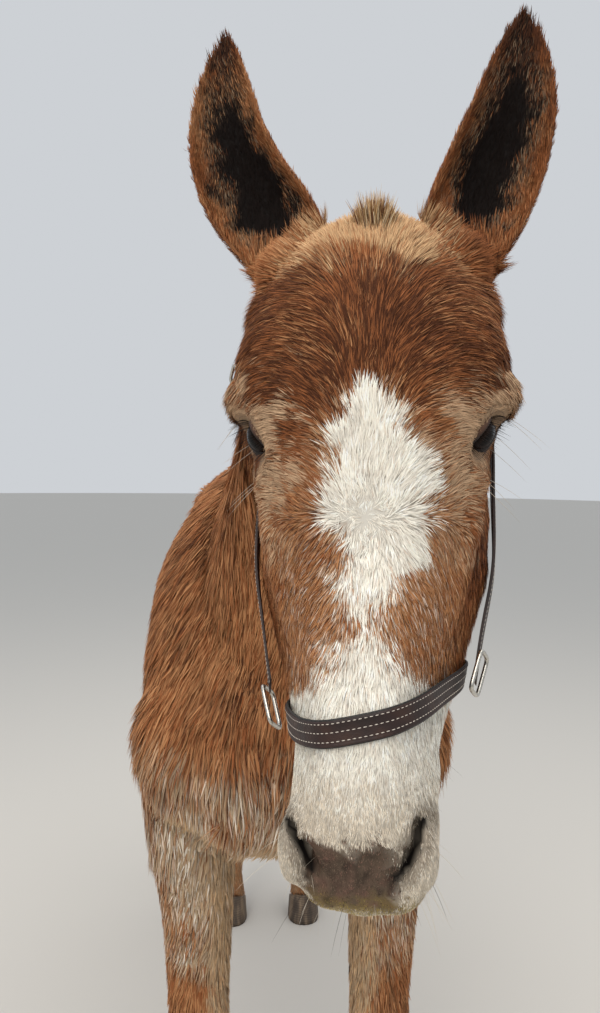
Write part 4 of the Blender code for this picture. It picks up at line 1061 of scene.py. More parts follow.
@dataclass
class Coat:
    """The coat: thin solid tufts over the skin, in pieces by part of the body."""

    hide: Object
    head_frame: HeadFrame
    seats: list[EyeSeat]
    colours: CoatColours
    lie: HairLie
    ear_maps: dict[Region, EarMap]
    seed: int = 7
    # How long the hair is down the face, as shares of the head's tufts, at distances from the poll.
    face_lengths: tuple[tuple[float, float], ...] = (
        (0.02, 1.90),
        (0.10, 1.60),
        (0.20, 1.10),
        (0.40, 1.00),
        (0.44, 0.62),
        (0.50, 0.36),
        (0.55, 0.32),
    )
    styles: dict[Region, TuftStyle] = field(init=False)

    def __post_init__(self) -> None:
        """Gives each part of the body its tufts."""
        ear = TuftStyle(8 * MM, 0.52 * MM, 0.14, 560_000, 5 * MM, 0.18)
        fore = TuftStyle(24 * MM, 1.6 * MM, 0.13, 150_000, 12 * MM, 0.35)
        hind = TuftStyle(24 * MM, 1.7 * MM, 0.13, 120_000, 12 * MM, 0.35)
        head = TuftStyle(11 * MM, 0.68 * MM, 0.13, 890_000, 6 * MM, 0.26)
        neck = TuftStyle(34 * MM, 1.5 * MM, 0.13, 165_000, 17 * MM, 0.34)
        torso = TuftStyle(36 * MM, 1.9 * MM, 0.13, 84_000, 19 * MM, 0.34)
        self.styles = dict(zip(REGIONS, (head, ear, ear, neck, torso, fore, fore, hind, hind)))

    def sites(self, places: Array, normals: Array, regions: Array) -> Sites:
        """Gathers what the coat needs to know of places on the skin.

        Args:
            places: Places in the world.
            normals: Normals there.
            regions: Region numbers.

        Returns:
            The sites.
        """
        head = self.head_frame.local(places)
        head_normals = self.head_frame.local_directions(normals)
        share, inside, turned = np.zeros((3, len(places)))
        axis = np.tile([0.0, 0.0, 1.0], (len(places), 1))
        for region, ear in self.ear_maps.items():
            mine = regions == REGIONS.index(region)
            if mine.any():
                share[mine], inside[mine], turned[mine] = ear.read(places[mine], normals[mine])
                axis[mine] = ear.axis
        rim = np.clip(1 - np.abs(inside - 0.5) * 2, 0, 1)
        return Sites(places, normals, regions, head, head_normals, share, inside, rim, axis, turned)

    def dress(self, material: Material) -> None:
        """Paints the skin and grows the coat on it."""
        places, normals, triangles = mesh_arrays(self.hide)
        regions = Hide.regions_of(places)
        on_skin = self.sites(places, normals, regions)
        # The skin takes the coat's colours darkened: painted shade under the hair.
        paint(self.hide, self.colours.tint(on_skin, None) * 0.62)
        rng = np.random.default_rng(self.seed)
        owner = regions[triangles[:, 0]]
        a, b, c = places[triangles].transpose(1, 0, 2)
        areas = np.linalg.norm(np.cross(b - a, c - a), axis=1) / 2
        middles = places[triangles].mean(axis=1)
        haired = self._haired(middles, owner)
        for region in REGIONS:
            mine = np.flatnonzero((owner == REGIONS.index(region)) & (areas > 0))
            density = self._density(middles[mine], region) * haired[mine]
            chosen = np.repeat(mine, rng.poisson(areas[mine] * density))
            rng.shuffle(chosen)
            self._grow(region, chosen, triangles, places, normals, rng, material)

    def _haired(self, middles: Array, owner: Array) -> Array:
        """How fully hair grows: not in the eyes' openings and nostrils, and thinly on the nose."""
        local = self.head_frame.local(middles)
        beside, deep = nostril_reach(local)
        grown = np.maximum(smoothstep(0.0022, 0.0045, beside), deep > 0.06)
        grown *= 1 - 0.45 * self.colours.nose_patch(local)
        for seat in self.seats:
            x, y, z, reach = seat.seen(middles)
            clear = smoothstep(0.98, 1.12, seat.opening(x, y, 3.5 * MM))
            grown *= np.maximum(clear, (z < 0) | (reach > 0.05))
        return np.where(owner == REGIONS.index(Region.HEAD), grown, 1.0)

    def _density(self, middles: Array, region: Region) -> Array:
        """How many tufts a square metre carries at each place."""
        base = np.full(len(middles), self.styles[region].per_square_metre)
        if region is Region.HEAD:
            local = self.head_frame.local(middles)
            front = smoothstep(-0.16, -0.06, local[:, 1])
            base = base * (0.34 + 0.72 * front)
            base = base * (1 + 0.5 * smoothstep(0.40, 0.46, local[:, 0]))
        if region is Region.TORSO:
            front = 1 - smoothstep(self.lie.fore_y - 0.05, self.lie.fore_y + 0.30, middles[:, 1])
            base = base * (0.90 + 0.9 * front)
        return base

    def _lengths(self, sites: Sites, region: Region, rng: Generator) -> Array:
        """Each tuft's length."""
        lengths = self.styles[region].length * rng.uniform(0.62, 1.25, len(sites.places))
        if region is Region.HEAD:
            along, _, side = sites.head.T
            lengths *= np.interp(along, *np.array(self.face_lengths).T)
            for seat in self.seats:
                x, y, z, reach = seat.seen(sites.places)
                short = 0.28 + 0.72 * smoothstep(0.012, 0.034, seat.ring(x, y))
                lengths *= np.maximum(short, (z < 0) | (reach > 0.06))
            lengths *= 1 - 0.55 * self.colours.nose_patch(sites.head)
            whorl = np.hypot(side - self.lie.whorl[1], along - self.lie.whorl[0])
            lengths *= 0.45 + 0.55 * smoothstep(0.004, 0.024, whorl)
        if region in EARS:
            lengths *= 1 + 0.45 * sites.ear_rim + 0.5 * (1 - smoothstep(0.0, 0.35, sites.ear_share))
        if region in (Region.TORSO, Region.NECK):
            front = 1 - smoothstep(self.lie.fore_y, self.lie.fore_y + 0.25, sites.places[:, 1])
            lengths *= 1 + 0.30 * front * (1 - smoothstep(0.95, 1.15, sites.places[:, 2]))
        if region in LEGS:
            lengths *= 0.55 + 0.55 * smoothstep(0.10, 0.60, sites.places[:, 2])
        return lengths

    def _lifts(self, sites: Sites, region: Region, rng: Generator) -> Array:
        """How steeply each tuft leaves the skin."""
        lifts = self.styles[region].lift * rng.uniform(0.5, 1.6, len(sites.places))
        if region in EARS:
            lifts += 0.35 * sites.ear_rim + 0.12 * sites.ear_inside
        if region is Region.HEAD:
            lifts += 0.30 * (1 - smoothstep(0.02, 0.09, sites.head[:, 0]))
        return lifts

    def _grow(
        self,
        region: Region,
        chosen: Array,
        triangles: Array,
        places: Array,
        normals: Array,
        rng: Generator,
        material: Material,
    ) -> None:
        """Grows one region's tufts, in pieces small enough to keep.

        Args:
            region: The part of the body.
            chosen: The skin triangle that each tuft grows from.
            triangles: All the skin's triangles.
            places: The skin's vertices.
            normals: The skin's vertex normals.
            rng: Seeded draws.
            material: The coat's finish.
        """
        count = len(chosen)
        weights = rng.dirichlet((1, 1, 1), count)
        corners = triangles[chosen]
        roots = np.einsum("nk,nkj->nj", weights, places[corners])
        up = unit(np.einsum("nk,nkj->nj", weights, normals[corners]))
        sites = self.sites(roots, up, np.full(count, REGIONS.index(region)))
        way = self.lie.run(sites)
        style = self.styles[region]
        lengths = self._lengths(sites, region, rng)
        lifts = self._lifts(sites, region, rng)
        bias = np.stack([mottle(roots, style.clump * 3, 60 + k) for k in range(3)], axis=1)
        way = way + 0.13 * bias + 0.09 * rng.normal(size=(count, 3))
        way = unit(way - up * dots(way, up)[:, None])
        tips = roots + (way * np.cos(lifts)[:, None] + up * np.sin(lifts)[:, None]) * lengths[:, None]
        tips += self._gathered(roots, style, rng)
        tones = self._clump_tones(roots, style, rng)
        colours = self.colours.tint(sites, rng) * tones[:, None]
        knees = roots + (tips - roots) * 0.42 + up * (lengths * np.sin(lifts) * 0.22)[:, None]
        side = unit(np.cross(up, way) + up * rng.normal(0, 0.28, count)[:, None])
        half = style.width * 0.5 * rng.uniform(0.7, 1.35, count)
        half *= np.clip(lengths / style.length, 0.45, 1.3)
        stem = roots - up * (0.5 * MM)
        quads = np.stack([stem, knees + side * half[:, None], tips, knees - side * half[:, None]], axis=1)
        # Painted shade at each tuft's root, where the coat shades it, and a little painted light at its tip.
        shade = np.array([0.55, 0.95, 1.06, 0.95])
        painted = colours[:, None, :] * shade[None, :, None]
        order = self._order(region, sites)
        pieces = max(1, math.ceil(count * 2 / TRIANGLES_A_PIECE))
        patches = self._unwrapped(roots, up)
        for number, rows in enumerate(np.array_split(order, pieces)):
            name = f"coat_{region.value}" + (f"_{number + 1}" if pieces > 1 else "")
            self._piece(name, quads[rows], painted[rows], patches[rows], material)

    @staticmethod
    def _order(region: Region, sites: Sites) -> Array:
        """Rows sorted along the part, so that each piece is one stretch of it."""
        key = sites.head[:, 2] if region is Region.HEAD else sites.places[:, 1]
        return np.argsort(key, kind="stable")

    @staticmethod
    def _clumps(places: Array, size: float) -> Array:
        """The number of the cell of this size that each place lies in."""
        cells = np.floor(places / size).astype(np.int64)
        return np.unique(cells @ np.array([1, 7919, 104729]), return_inverse=True)[1]

    def _gathered(self, roots: Array, style: TuftStyle, rng: Generator) -> Array:
        """How far each tip is drawn to the middle of its clump."""
        clump = self._clumps(roots + rng.uniform(-0.2, 0.2, roots.shape) * style.clump, style.clump)
        share = 1 / np.bincount(clump)
        middle = np.stack([np.bincount(clump, roots[:, k]) * share for k in range(3)], axis=1)
        return (middle[clump] - roots) * style.gather

    def _clump_tones(self, roots: Array, style: TuftStyle, rng: Generator) -> Array:
        """A slightly lighter or darker tone for each clump."""
        clump = self._clumps(roots, style.clump * 0.8)
        return rng.uniform(0.84, 1.16, clump.max() + 1)[clump]

    @staticmethod
    def _unwrapped(roots: Array, up: Array) -> Array:
        """An unwrap of the skin's own shape: six sides, each in its own cell."""
        low, high = roots.min(axis=0), roots.max(axis=0)
        share = (roots - low) / np.maximum(high - low, 1e-6)
        axis = np.abs(up).argmax(axis=1)
        rows = np.arange(len(roots))
        positive = up[rows, axis] > 0
        across = share[rows, (axis + 1) % 3]
        along = share[rows, (axis + 2) % 3]
        cell = np.stack([axis / 3, positive * 0.5], axis=1)
        return cell + np.stack([0.01 + across * 0.31, 0.01 + along * 0.47], axis=1)

    @staticmethod
    def _piece(
        name: str, quads: Array, painted: Array, patches: Array, material: Material
    ) -> None:
        """Makes one piece of the coat.

        Args:
            name: The piece's name.
            quads: Root, side, tip and side of each tuft.
            painted: A colour for each of those, with painted shade at the root and painted light at the tip.
            patches: Each tuft's place on the unwrap.
            material: The coat's finish.
        """
        count = len(quads)
        kite = np.array([[0, 1, 3], [1, 2, 3]])
        faces = (np.arange(count)[:, None, None] * 4 + kite).reshape(-1, 3)
        made = object_from_arrays(name, quads.reshape(-1, 3), faces, material)
        paint(made, painted.reshape(-1, 3))
        patch = np.array([[0, -0.0015], [0.0015, 0], [0, 0.0015], [-0.0015, 0]])
        corners = (patches[:, None, :] + patch[None]).reshape(-1, 2)
        layer = made.data.uv_layers.new(name=OFBAKE)
        layer.uv.foreach_set("vector", corners[faces.ravel()].astype(np.float32).ravel())
        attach(made, BODY)
        log.info("%s: %d tufts", name, count)


@dataclass(frozen=True)
class Living:
    """The finishes of hair, skin, eyes and horn. All but horn carry their colours in an attribute."""

    def _coloured(self, name: str) -> tuple[Material, NodeTree, Node]:
        """A material whose colour is the coat's attribute."""
        made, tree, principled = new_material(name)
        colour = add_node(tree, "ShaderNodeAttribute", attribute_name=COAT_ATTRIBUTE)
        plug(tree, principled, {"Base Color": colour.outputs["Color"]})
        return made, tree, principled

    def coat(self) -> Material:
        """Short winter hair: keratin, matt across the lie, with hardly any gloss at its tips."""
        made, tree, principled = self._coloured("sorrel_hair")
        plug(tree, principled, {"Roughness": 0.68, "Specular IOR Level": 0.10})
        return made

    def strands(self) -> Material:
        """Long hair of mane, tail and lashes: keratin again, coarser, so that each hair shines a little."""
        made, tree, principled = self._coloured("flaxen_strands")
        plug(tree, principled, {"Roughness": 0.5, "Specular IOR Level": 0.22})
        return made

    def hide(self) -> Material:
        """Skin under short hair: the hair's own colour, darkened as painted shade under the coat, with a
        fine fibre bump.
        """
        made, tree, principled = self._coloured("haired_hide")
        place = add_node(tree, "ShaderNodeTexCoord").outputs["Object"]
        fibre = add_node(tree, "ShaderNodeTexNoise", {"Vector": place, "Scale": every(1.11), "Detail": 3.0})
        relief = {"Height": fibre.outputs[0], "Strength": 0.5, "Distance": 0.0006}
        bump = add_node(tree, "ShaderNodeBump", relief)
        plug(tree, principled, {"Normal": bump.outputs[0], "Roughness": 0.7, "Specular IOR Level": 0.15})
        return made

    def lids(self) -> Material:
        """Bare dark eyelid skin: moist at its rim, creased about every 1.7 mm."""
        made, tree, principled = self._coloured("eyelid_skin")
        place = add_node(tree, "ShaderNodeTexCoord").outputs["Object"]
        crease = add_node(tree, "ShaderNodeTexNoise", {"Vector": place, "Scale": every(1.67), "Detail": 4.0})
        relief = {"Height": crease.outputs[0], "Strength": 0.6, "Distance": 0.0006}
        bump = add_node(tree, "ShaderNodeBump", relief)
        plug(tree, principled, {"Normal": bump.outputs[0], "Roughness": 0.42, "Specular IOR Level": 0.35})
        return made

    def eyes(self) -> Material:
        """A living eye: dark brown under a wet, clear, smooth cornea."""
        made, tree, principled = self._coloured("wet_eye")
        plug(tree, principled, {"Roughness": 0.12, "IOR": 1.38, "Specular IOR Level": 0.10})
        plug(tree, principled, {"Coat Weight": 0.08, "Coat Roughness": 0.03})
        return made

    def horn(self) -> Material:
        """Hoof horn: grown in rings about 6 mm apart, with fine upright fibres, dusty and worn."""
        made, tree, principled = new_material("hoof_wall")
        place = add_node(tree, "ShaderNodeTexCoord").outputs["Object"]
        level = add_node(tree, "ShaderNodeSeparateXYZ", {0: place}).outputs["Z"]
        wander = add_node(tree, "ShaderNodeTexNoise", {"Vector": place, "Scale": every(33.3), "Detail": 2.0})
        shift = add_node(tree, "ShaderNodeMath", {0: wander.outputs[0], 1: 6 * MM}, operation="MULTIPLY")
        height = add_node(tree, "ShaderNodeMath", {0: level, 1: shift.outputs[0]}, operation="ADD")
        turns = {0: height.outputs[0], 1: 2 * math.pi / (6 * MM)}
        turn = add_node(tree, "ShaderNodeMath", turns, operation="MULTIPLY")
        ring = add_node(tree, "ShaderNodeMath", {0: turn.outputs[0]}, operation="SINE")
        stretch = add_node(tree, "ShaderNodeMapping", {"Vector": place, "Scale": (1.0, 1.0, 0.05)})
        tall = stretch.outputs[0]
        fibre = add_node(tree, "ShaderNodeTexNoise", {"Vector": tall, "Scale": every(1.43), "Detail": 3.0})
        cloud = add_node(tree, "ShaderNodeTexNoise", {"Vector": tall, "Scale": every(16.7), "Detail": 3.0})
        tone = add_node(tree, "ShaderNodeMath", {0: ring.outputs[0], 1: 0.06}, operation="MULTIPLY")
        shade = add_node(tree, "ShaderNodeMath", {0: cloud.outputs[0], 1: tone.outputs[0]}, operation="ADD")
        colour = ramp(tree, shade.outputs[0], [(0.30, "#3b3129"), (0.52, "#5b4c3e"), (0.75, "#8a7660")])
        deep = add_node(tree, "ShaderNodeMath", {0: ring.outputs[0], 1: 0.35}, operation="MULTIPLY")
        raised = add_node(tree, "ShaderNodeMath", {0: deep.outputs[0], 1: fibre.outputs[0]}, operation="ADD")
        relief = {"Height": raised.outputs[0], "Strength": 0.6, "Distance": 0.0008}
        bump = add_node(tree, "ShaderNodeBump", relief)
        plug(tree, principled, {"Base Color": colour, "Normal": bump.outputs[0], "Roughness": 0.58})
        return made

    def callus(self) -> Material:
        """A callus of dry horn, flaking in scales of about 3 mm."""
        made, tree, principled = new_material("horny_callus")
        place = add_node(tree, "ShaderNodeTexCoord").outputs["Object"]
        flake = add_node(tree, "ShaderNodeTexVoronoi", {"Vector": place, "Scale": every(3.03)})
        colour = ramp(tree, flake.outputs[0], [(0.1, "#241c17"), (0.6, "#4d4036")])
        relief = {"Height": flake.outputs[0], "Strength": 0.8, "Distance": 0.001}
        bump = add_node(tree, "ShaderNodeBump", relief)
        plug(tree, principled, {"Base Color": colour, "Normal": bump.outputs[0], "Roughness": 0.8})
        return made


@dataclass(frozen=True)
class Strands:
    """Many thin tapered hairs joined in one piece, each three-sided, closed and a little flat."""

    flatness: float = 0.45
    tip: float = 0.14

    def build(
        self,
        name: str,
        paths: Array,
        half: Array,
        flat: Array,
        colours: Array,
        material: Material,
    ) -> Object:
        """Makes the piece.

        Args:
            name: The piece's name.
            paths: For each hair, its places from root to tip.
            half: Half of each hair's width at its root.
            flat: For each hair, the direction its flat side faces.
            colours: A linear colour for each hair at each of its places.
            material: The hair's finish.

        Returns:
            The piece, at the origin, with its colours in the coat's attribute.
        """
        count, steps, _ = paths.shape
        ahead = unit(np.gradient(paths, axis=1))
        across = unit(np.cross(ahead, flat[:, None, :]))
        out = np.cross(across, ahead)
        taper = np.maximum(np.sqrt(1 - np.linspace(0, 1, steps) ** 2.2), self.tip)
        size = half[:, None, None, None] * taper[None, :, None, None]
        turns = np.arange(3) * 2 * math.pi / 3
        spokes = np.cos(turns)[:, None] * across[:, :, None]
        spokes = spokes + self.flatness * np.sin(turns)[:, None] * out[:, :, None]
        places = paths[:, :, None] + size * spokes
        sides = []
        for step in range(steps - 1):
            for turn in range(3):
                a, b = step * 3 + turn, step * 3 + (turn + 1) % 3
                sides += [(a, a + 3, b + 3), (a, b + 3, b)]
        end = (steps - 1) * 3
        shape = np.array([*sides, (0, 1, 2), (end + 2, end + 1, end)])
        faces = np.arange(count)[:, None, None] * steps * 3 + shape[None]
        made = object_from_arrays(name, places.reshape(-1, 3), faces.reshape(-1, 3), material)
        paint(made, np.repeat(colours.reshape(-1, 3), 3, axis=0))
        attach(made, BODY)
        log.info("%s: %d hairs", name, count)
        return made


def straight_hairs(roots: Array, ways: Array, lengths: Array, steps: Array) -> Array:
    """Places along straight hairs, at shares of their lengths."""
    return roots[:, None] + ways[:, None] * (lengths[:, None] * steps)[..., None]


def bent_grid(
    name: str,
    counts: tuple[int, int],
    place: Callable[[Array, Array], Array],
    material: Material,
    capped: bool = False,
) -> Object:
    """Bends a plain grid into a sheet, a tube or a ring, and welds the edges that meet.

    Args:
        name: The piece's name.
        counts: Faces along and across the grid.
        place: Turns arrays of shares along and across into places.
        material: Its finish.
        capped: Whether open ends are closed.

    Returns:
        The piece, at the origin, with its faces pointing out.
    """
    bm = bmesh.new()
    bmesh.ops.create_grid(bm, x_segments=counts[0], y_segments=counts[1], size=0.5)
    shares = np.array([vert.co for vert in bm.verts]) + 0.5
    for vert, spot in zip(bm.verts, place(shares[:, 0], shares[:, 1])):
        vert.co = spot
    bmesh.ops.remove_doubles(bm, verts=bm.verts, dist=1e-5)
    if capped:
        bmesh.ops.holes_fill(bm, edges=bm.edges, sides=0)
    bmesh.ops.recalc_face_normals(bm, faces=bm.faces)
    made = object_from_bmesh(bm, name, material)
    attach(made, BODY)
    return made


def surface_of(things: list[Object]) -> BVHTree:
    """A tree that finds the nearest place on these meshes."""
    bm = bmesh.new()
    for thing in things:
        bm.from_mesh(thing.data)
    tree = BVHTree.FromBMesh(bm)
    bm.free()
    return tree


@dataclass(frozen=True)
class Eye(EyeSeat):
    """One eye: the wet ball, its lids with their bare dark rims, and the lashes and feelers round it."""

    skin: BVHTree | None = None
    cornea: float = 1.1 * MM
    lashes: int = 46
    feelers: int = 7
    iris: str = "#1d0f08"
    pupil: str = "#020203"
    rim: str = "#1b1310"
    lid: str = "#5a3d2c"
    lash: str = "#1a1210"
    feeler: str = "#cfc3b2"

    def build(self, ball: Material, skin: Material, hair: Material) -> None:
        """Makes the ball, the lids and the hairs round them.

        Args:
            ball: The finish of the eye.
            skin: The finish of the bare lids.
            hair: The finish of lashes and feelers.
        """
        self._ball(ball)
        self._lids(skin)
        self._lashes(hair)
        log.info("eye_ball_%s: with lids, lashes and feelers", self.side)

    def _ball(self, material: Material) -> None:
        """The ball, with the clear bulge over its wide dark iris."""
        out, inner, over = self.axes
        bm = bmesh.new()
        bmesh.ops.create_uvsphere(bm, u_segments=64, v_segments=40, radius=1.0)
        local = np.array([vert.co for vert in bm.verts])
        bulge = smoothstep(0.70, 0.95, local[:, 2]) * self.cornea
        reach = self.radius - 0.1 * MM + bulge
        move_corners(bm, local @ np.stack([inner, over, out]) * reach[:, None] + self.centre)
        made = object_from_bmesh(bm, f"eye_ball_{self.side}", material)
        in_iris = smoothstep(0.66, 0.74, local[:, 2])[:, None]
        in_pupil = (1 - smoothstep(0.34, 0.44, np.hypot(local[:, 0] * 0.75, local[:, 1] * 1.9)))[:, None]
        colour = linear(self.rim) * (1 - in_iris) + linear(self.iris) * in_iris
        paint(made, colour * (1 - in_pupil * in_iris) + linear(self.pupil) * in_pupil * in_iris)
        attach(made, BODY)
        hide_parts(f"eye_{self.side}")

    def _rim(self, turns: Array, scale: float) -> Array:
        """Places round the opening, in the plane of the eye, wider by a scale."""
        _, inner, over = self.axes
        cos, sin = np.cos(turns), np.sin(turns)
        grown = (scale - 1) * self.half_open * 1.4
        x = (self.half_long + 0.8 * grown) * cos
        y = self.half_open * sin * (1 + 0.18 * sin) * (1 - 0.25 * np.abs(cos) ** 3) + grown * sin
        return self.centre + x[:, None] * inner + y[:, None] * over

    def _on_ball(self, flat: Array, lift: float) -> Array:
        """Places of the eye's plane raised to the ball."""
        out = self.axes[0]
        away = np.linalg.norm(flat - self.centre, axis=1)
        reach = self.radius + lift
        return flat + out * np.sqrt(np.maximum(reach**2 - away**2, (0.52 * reach) ** 2))[:, None]

    def _on_skin(self, flat: Array, lift: float) -> Array:
        """Places of the eye's plane laid on the skin."""
        out = Vector(self.axes[0])
        laid = []
        for spot in flat:
            start = Vector(spot) + out * 0.05
            hit, normal, _, _ = self.skin.ray_cast(start, -out, 0.07)
            if hit is None:
                hit, normal, _, _ = self.skin.find_nearest(Vector(spot) + out * self.radius)
            laid.append(hit + normal * lift)
        return np.array(laid)

    def _lids(self, material: Material) -> None:
        """Both lids as one thick fold that starts on the ball and sinks into the skin."""
        turns = np.linspace(0, 2 * math.pi, 97)
        upper = self.axes[0] * np.clip(np.sin(turns), 0, 1)[:, None]
        # The rows of the fold: (the row's size, its height in mm, and how far the upper lid stands out).
        over_ball = ((0.90, -0.6, 0.0), (0.97, 0.5, 0.6), (1.08, 1.3, 1.1), (1.20, 1.8, 0.9))
        over_skin = ((1.48, 0.1), (1.60, -0.9), (1.74, -2.4))
        rows = [self._on_ball(self._rim(turns, s), h * MM) + upper * thick * MM for s, h, thick in over_ball]
        between = self._rim(turns, 1.36)
        rows.append((self._on_ball(between, 2.0 * MM) + self._on_skin(between, 0.4 * MM)) / 2)
        rows += [self._on_skin(self._rim(turns, s), h * MM) for s, h in over_skin]
        sections = np.array(rows)

        def place(across: Array, along: Array) -> Array:
            """Reads the fold's rows between their places."""
            row = across * (len(rows) - 1)
            low = np.minimum(row.astype(int), len(rows) - 2)
            turn = np.round(along * (len(turns) - 1)).astype(int)
            turn[turn == len(turns) - 1] = 0
            share = (row - low)[:, None]
            return sections[low, turn] * (1 - share) + sections[low + 1, turn] * share

        made = bent_grid(f"eye_lids_{self.side}", (14, len(turns) - 1), place, material)
        x, y, _, _ = self.seen(mesh_arrays(made)[0])
        share = smoothstep(1.12, 1.75, self.opening(x, y, 0.0))[:, None]
        paint(made, linear(self.rim) * (1 - share) + linear(self.lid) * share)

    def _lashes(self, material: Material) -> None:
        """Dark lashes from the upper lid, and long pale feelers under the eye."""
        rng = np.random.default_rng(70 + self.left)
        out, inner, over = self.axes
        turns = np.linspace(0.12, 0.86, self.lashes) * math.pi + rng.normal(0, 0.02, self.lashes)
        roots = self._on_ball(self._rim(turns, 1.06), 2.0 * MM)
        away = unit(out - over * 0.12 + inner * (np.cos(turns) * 0.5)[:, None])
        droop = unit(-over * 0.75 + out * 0.6)
        long = rng.uniform(9, 15, self.lashes) * MM
        steps = np.linspace(0, 1, 6)
        paths = straight_hairs(roots, away, long, steps)
        paths += (droop * 0.45) * (long[:, None] * steps**2)[..., None]
        colours = np.tile(linear(self.lash), (self.lashes, 6, 1))
        low_turns = rng.uniform(-0.85, -0.25, self.feelers) * math.pi
        low_roots = self._on_skin(self._rim(low_turns, 4.0), 0.0)
        low_away = unit(rng.normal(0, 0.16, (self.feelers, 3)) + out * 0.8 - over * 0.55)
        low_long = rng.uniform(26, 44, self.feelers) * MM
        low_paths = straight_hairs(low_roots, low_away, low_long, steps)
        low_paths -= over * 0.25 * (low_long[:, None] * steps**2)[..., None]
        pale = np.tile(linear(self.feeler), (self.feelers, 6, 1))
        made = Strands().build(
            f"lashes_{self.side}",
            np.concatenate([paths, low_paths]),
            np.concatenate([np.full(self.lashes, 0.26 * MM), np.full(self.feelers, 0.22 * MM)]),
            np.tile(over, (self.lashes + self.feelers, 1)),
            np.concatenate([colours, pale]),
            material,
        )


@dataclass(frozen=True)
class StrapPlan:
    """One strap of the halter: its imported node, and the plane it lies in."""

    node: str
    middle: Vector
    side: Vector
    away: Vector
    whole: bool = False
    clear_of_zero: float = 2.0

    def sections(self) -> Array:
        """Reads the strap's cross-sections back from its solid.

        Returns:
            For each station, the inner and outer corners of one edge, then of the other.
        """
        places = np.unique(np.round(solid_corners(self.node), 6), axis=0)
        side = np.array(self.side)
        away = np.array((self.away - self.side * self.away.dot(self.side)).normalized())
        across = np.cross(side, away)
        rel = places - np.array(self.middle)
        x, y, offset = rel @ side, rel @ away, rel @ across
        turn = (np.degrees(np.arctan2(y, x)) + self.clear_of_zero) % 360
        if not self.whole:
            ordered = np.sort(turn)
            gaps = np.diff(np.append(ordered, ordered[0] + 360))
            turn = (turn - ordered[(np.argmax(gaps) + 1) % len(ordered)] + 0.5) % 360
        order = np.argsort(turn)
        cuts = np.flatnonzero(np.diff(turn[order]) > 1.5) + 1
        stations = []
        for group in np.split(order, cuts):
            corners = []
            for sign in (-1, 1):
                mine = group[np.sign(offset[group]) == sign]
                reach = np.hypot(x[mine], y[mine])
                corners += [places[mine[reach.argmin()]], places[mine[reach.argmax()]]]
            stations.append(corners)
        return np.array(stations)


@dataclass(frozen=True)
class StrapStyle:
    """How a strap is made up: its layers across and through, and its rows of stitches."""

    rows: tuple[float, ...] = (-0.78, 0.78)
    padded: bool = False
    pitch: float = 4.0 * MM
    stitch: float = 3.1 * MM
    thread: float = 0.75 * MM


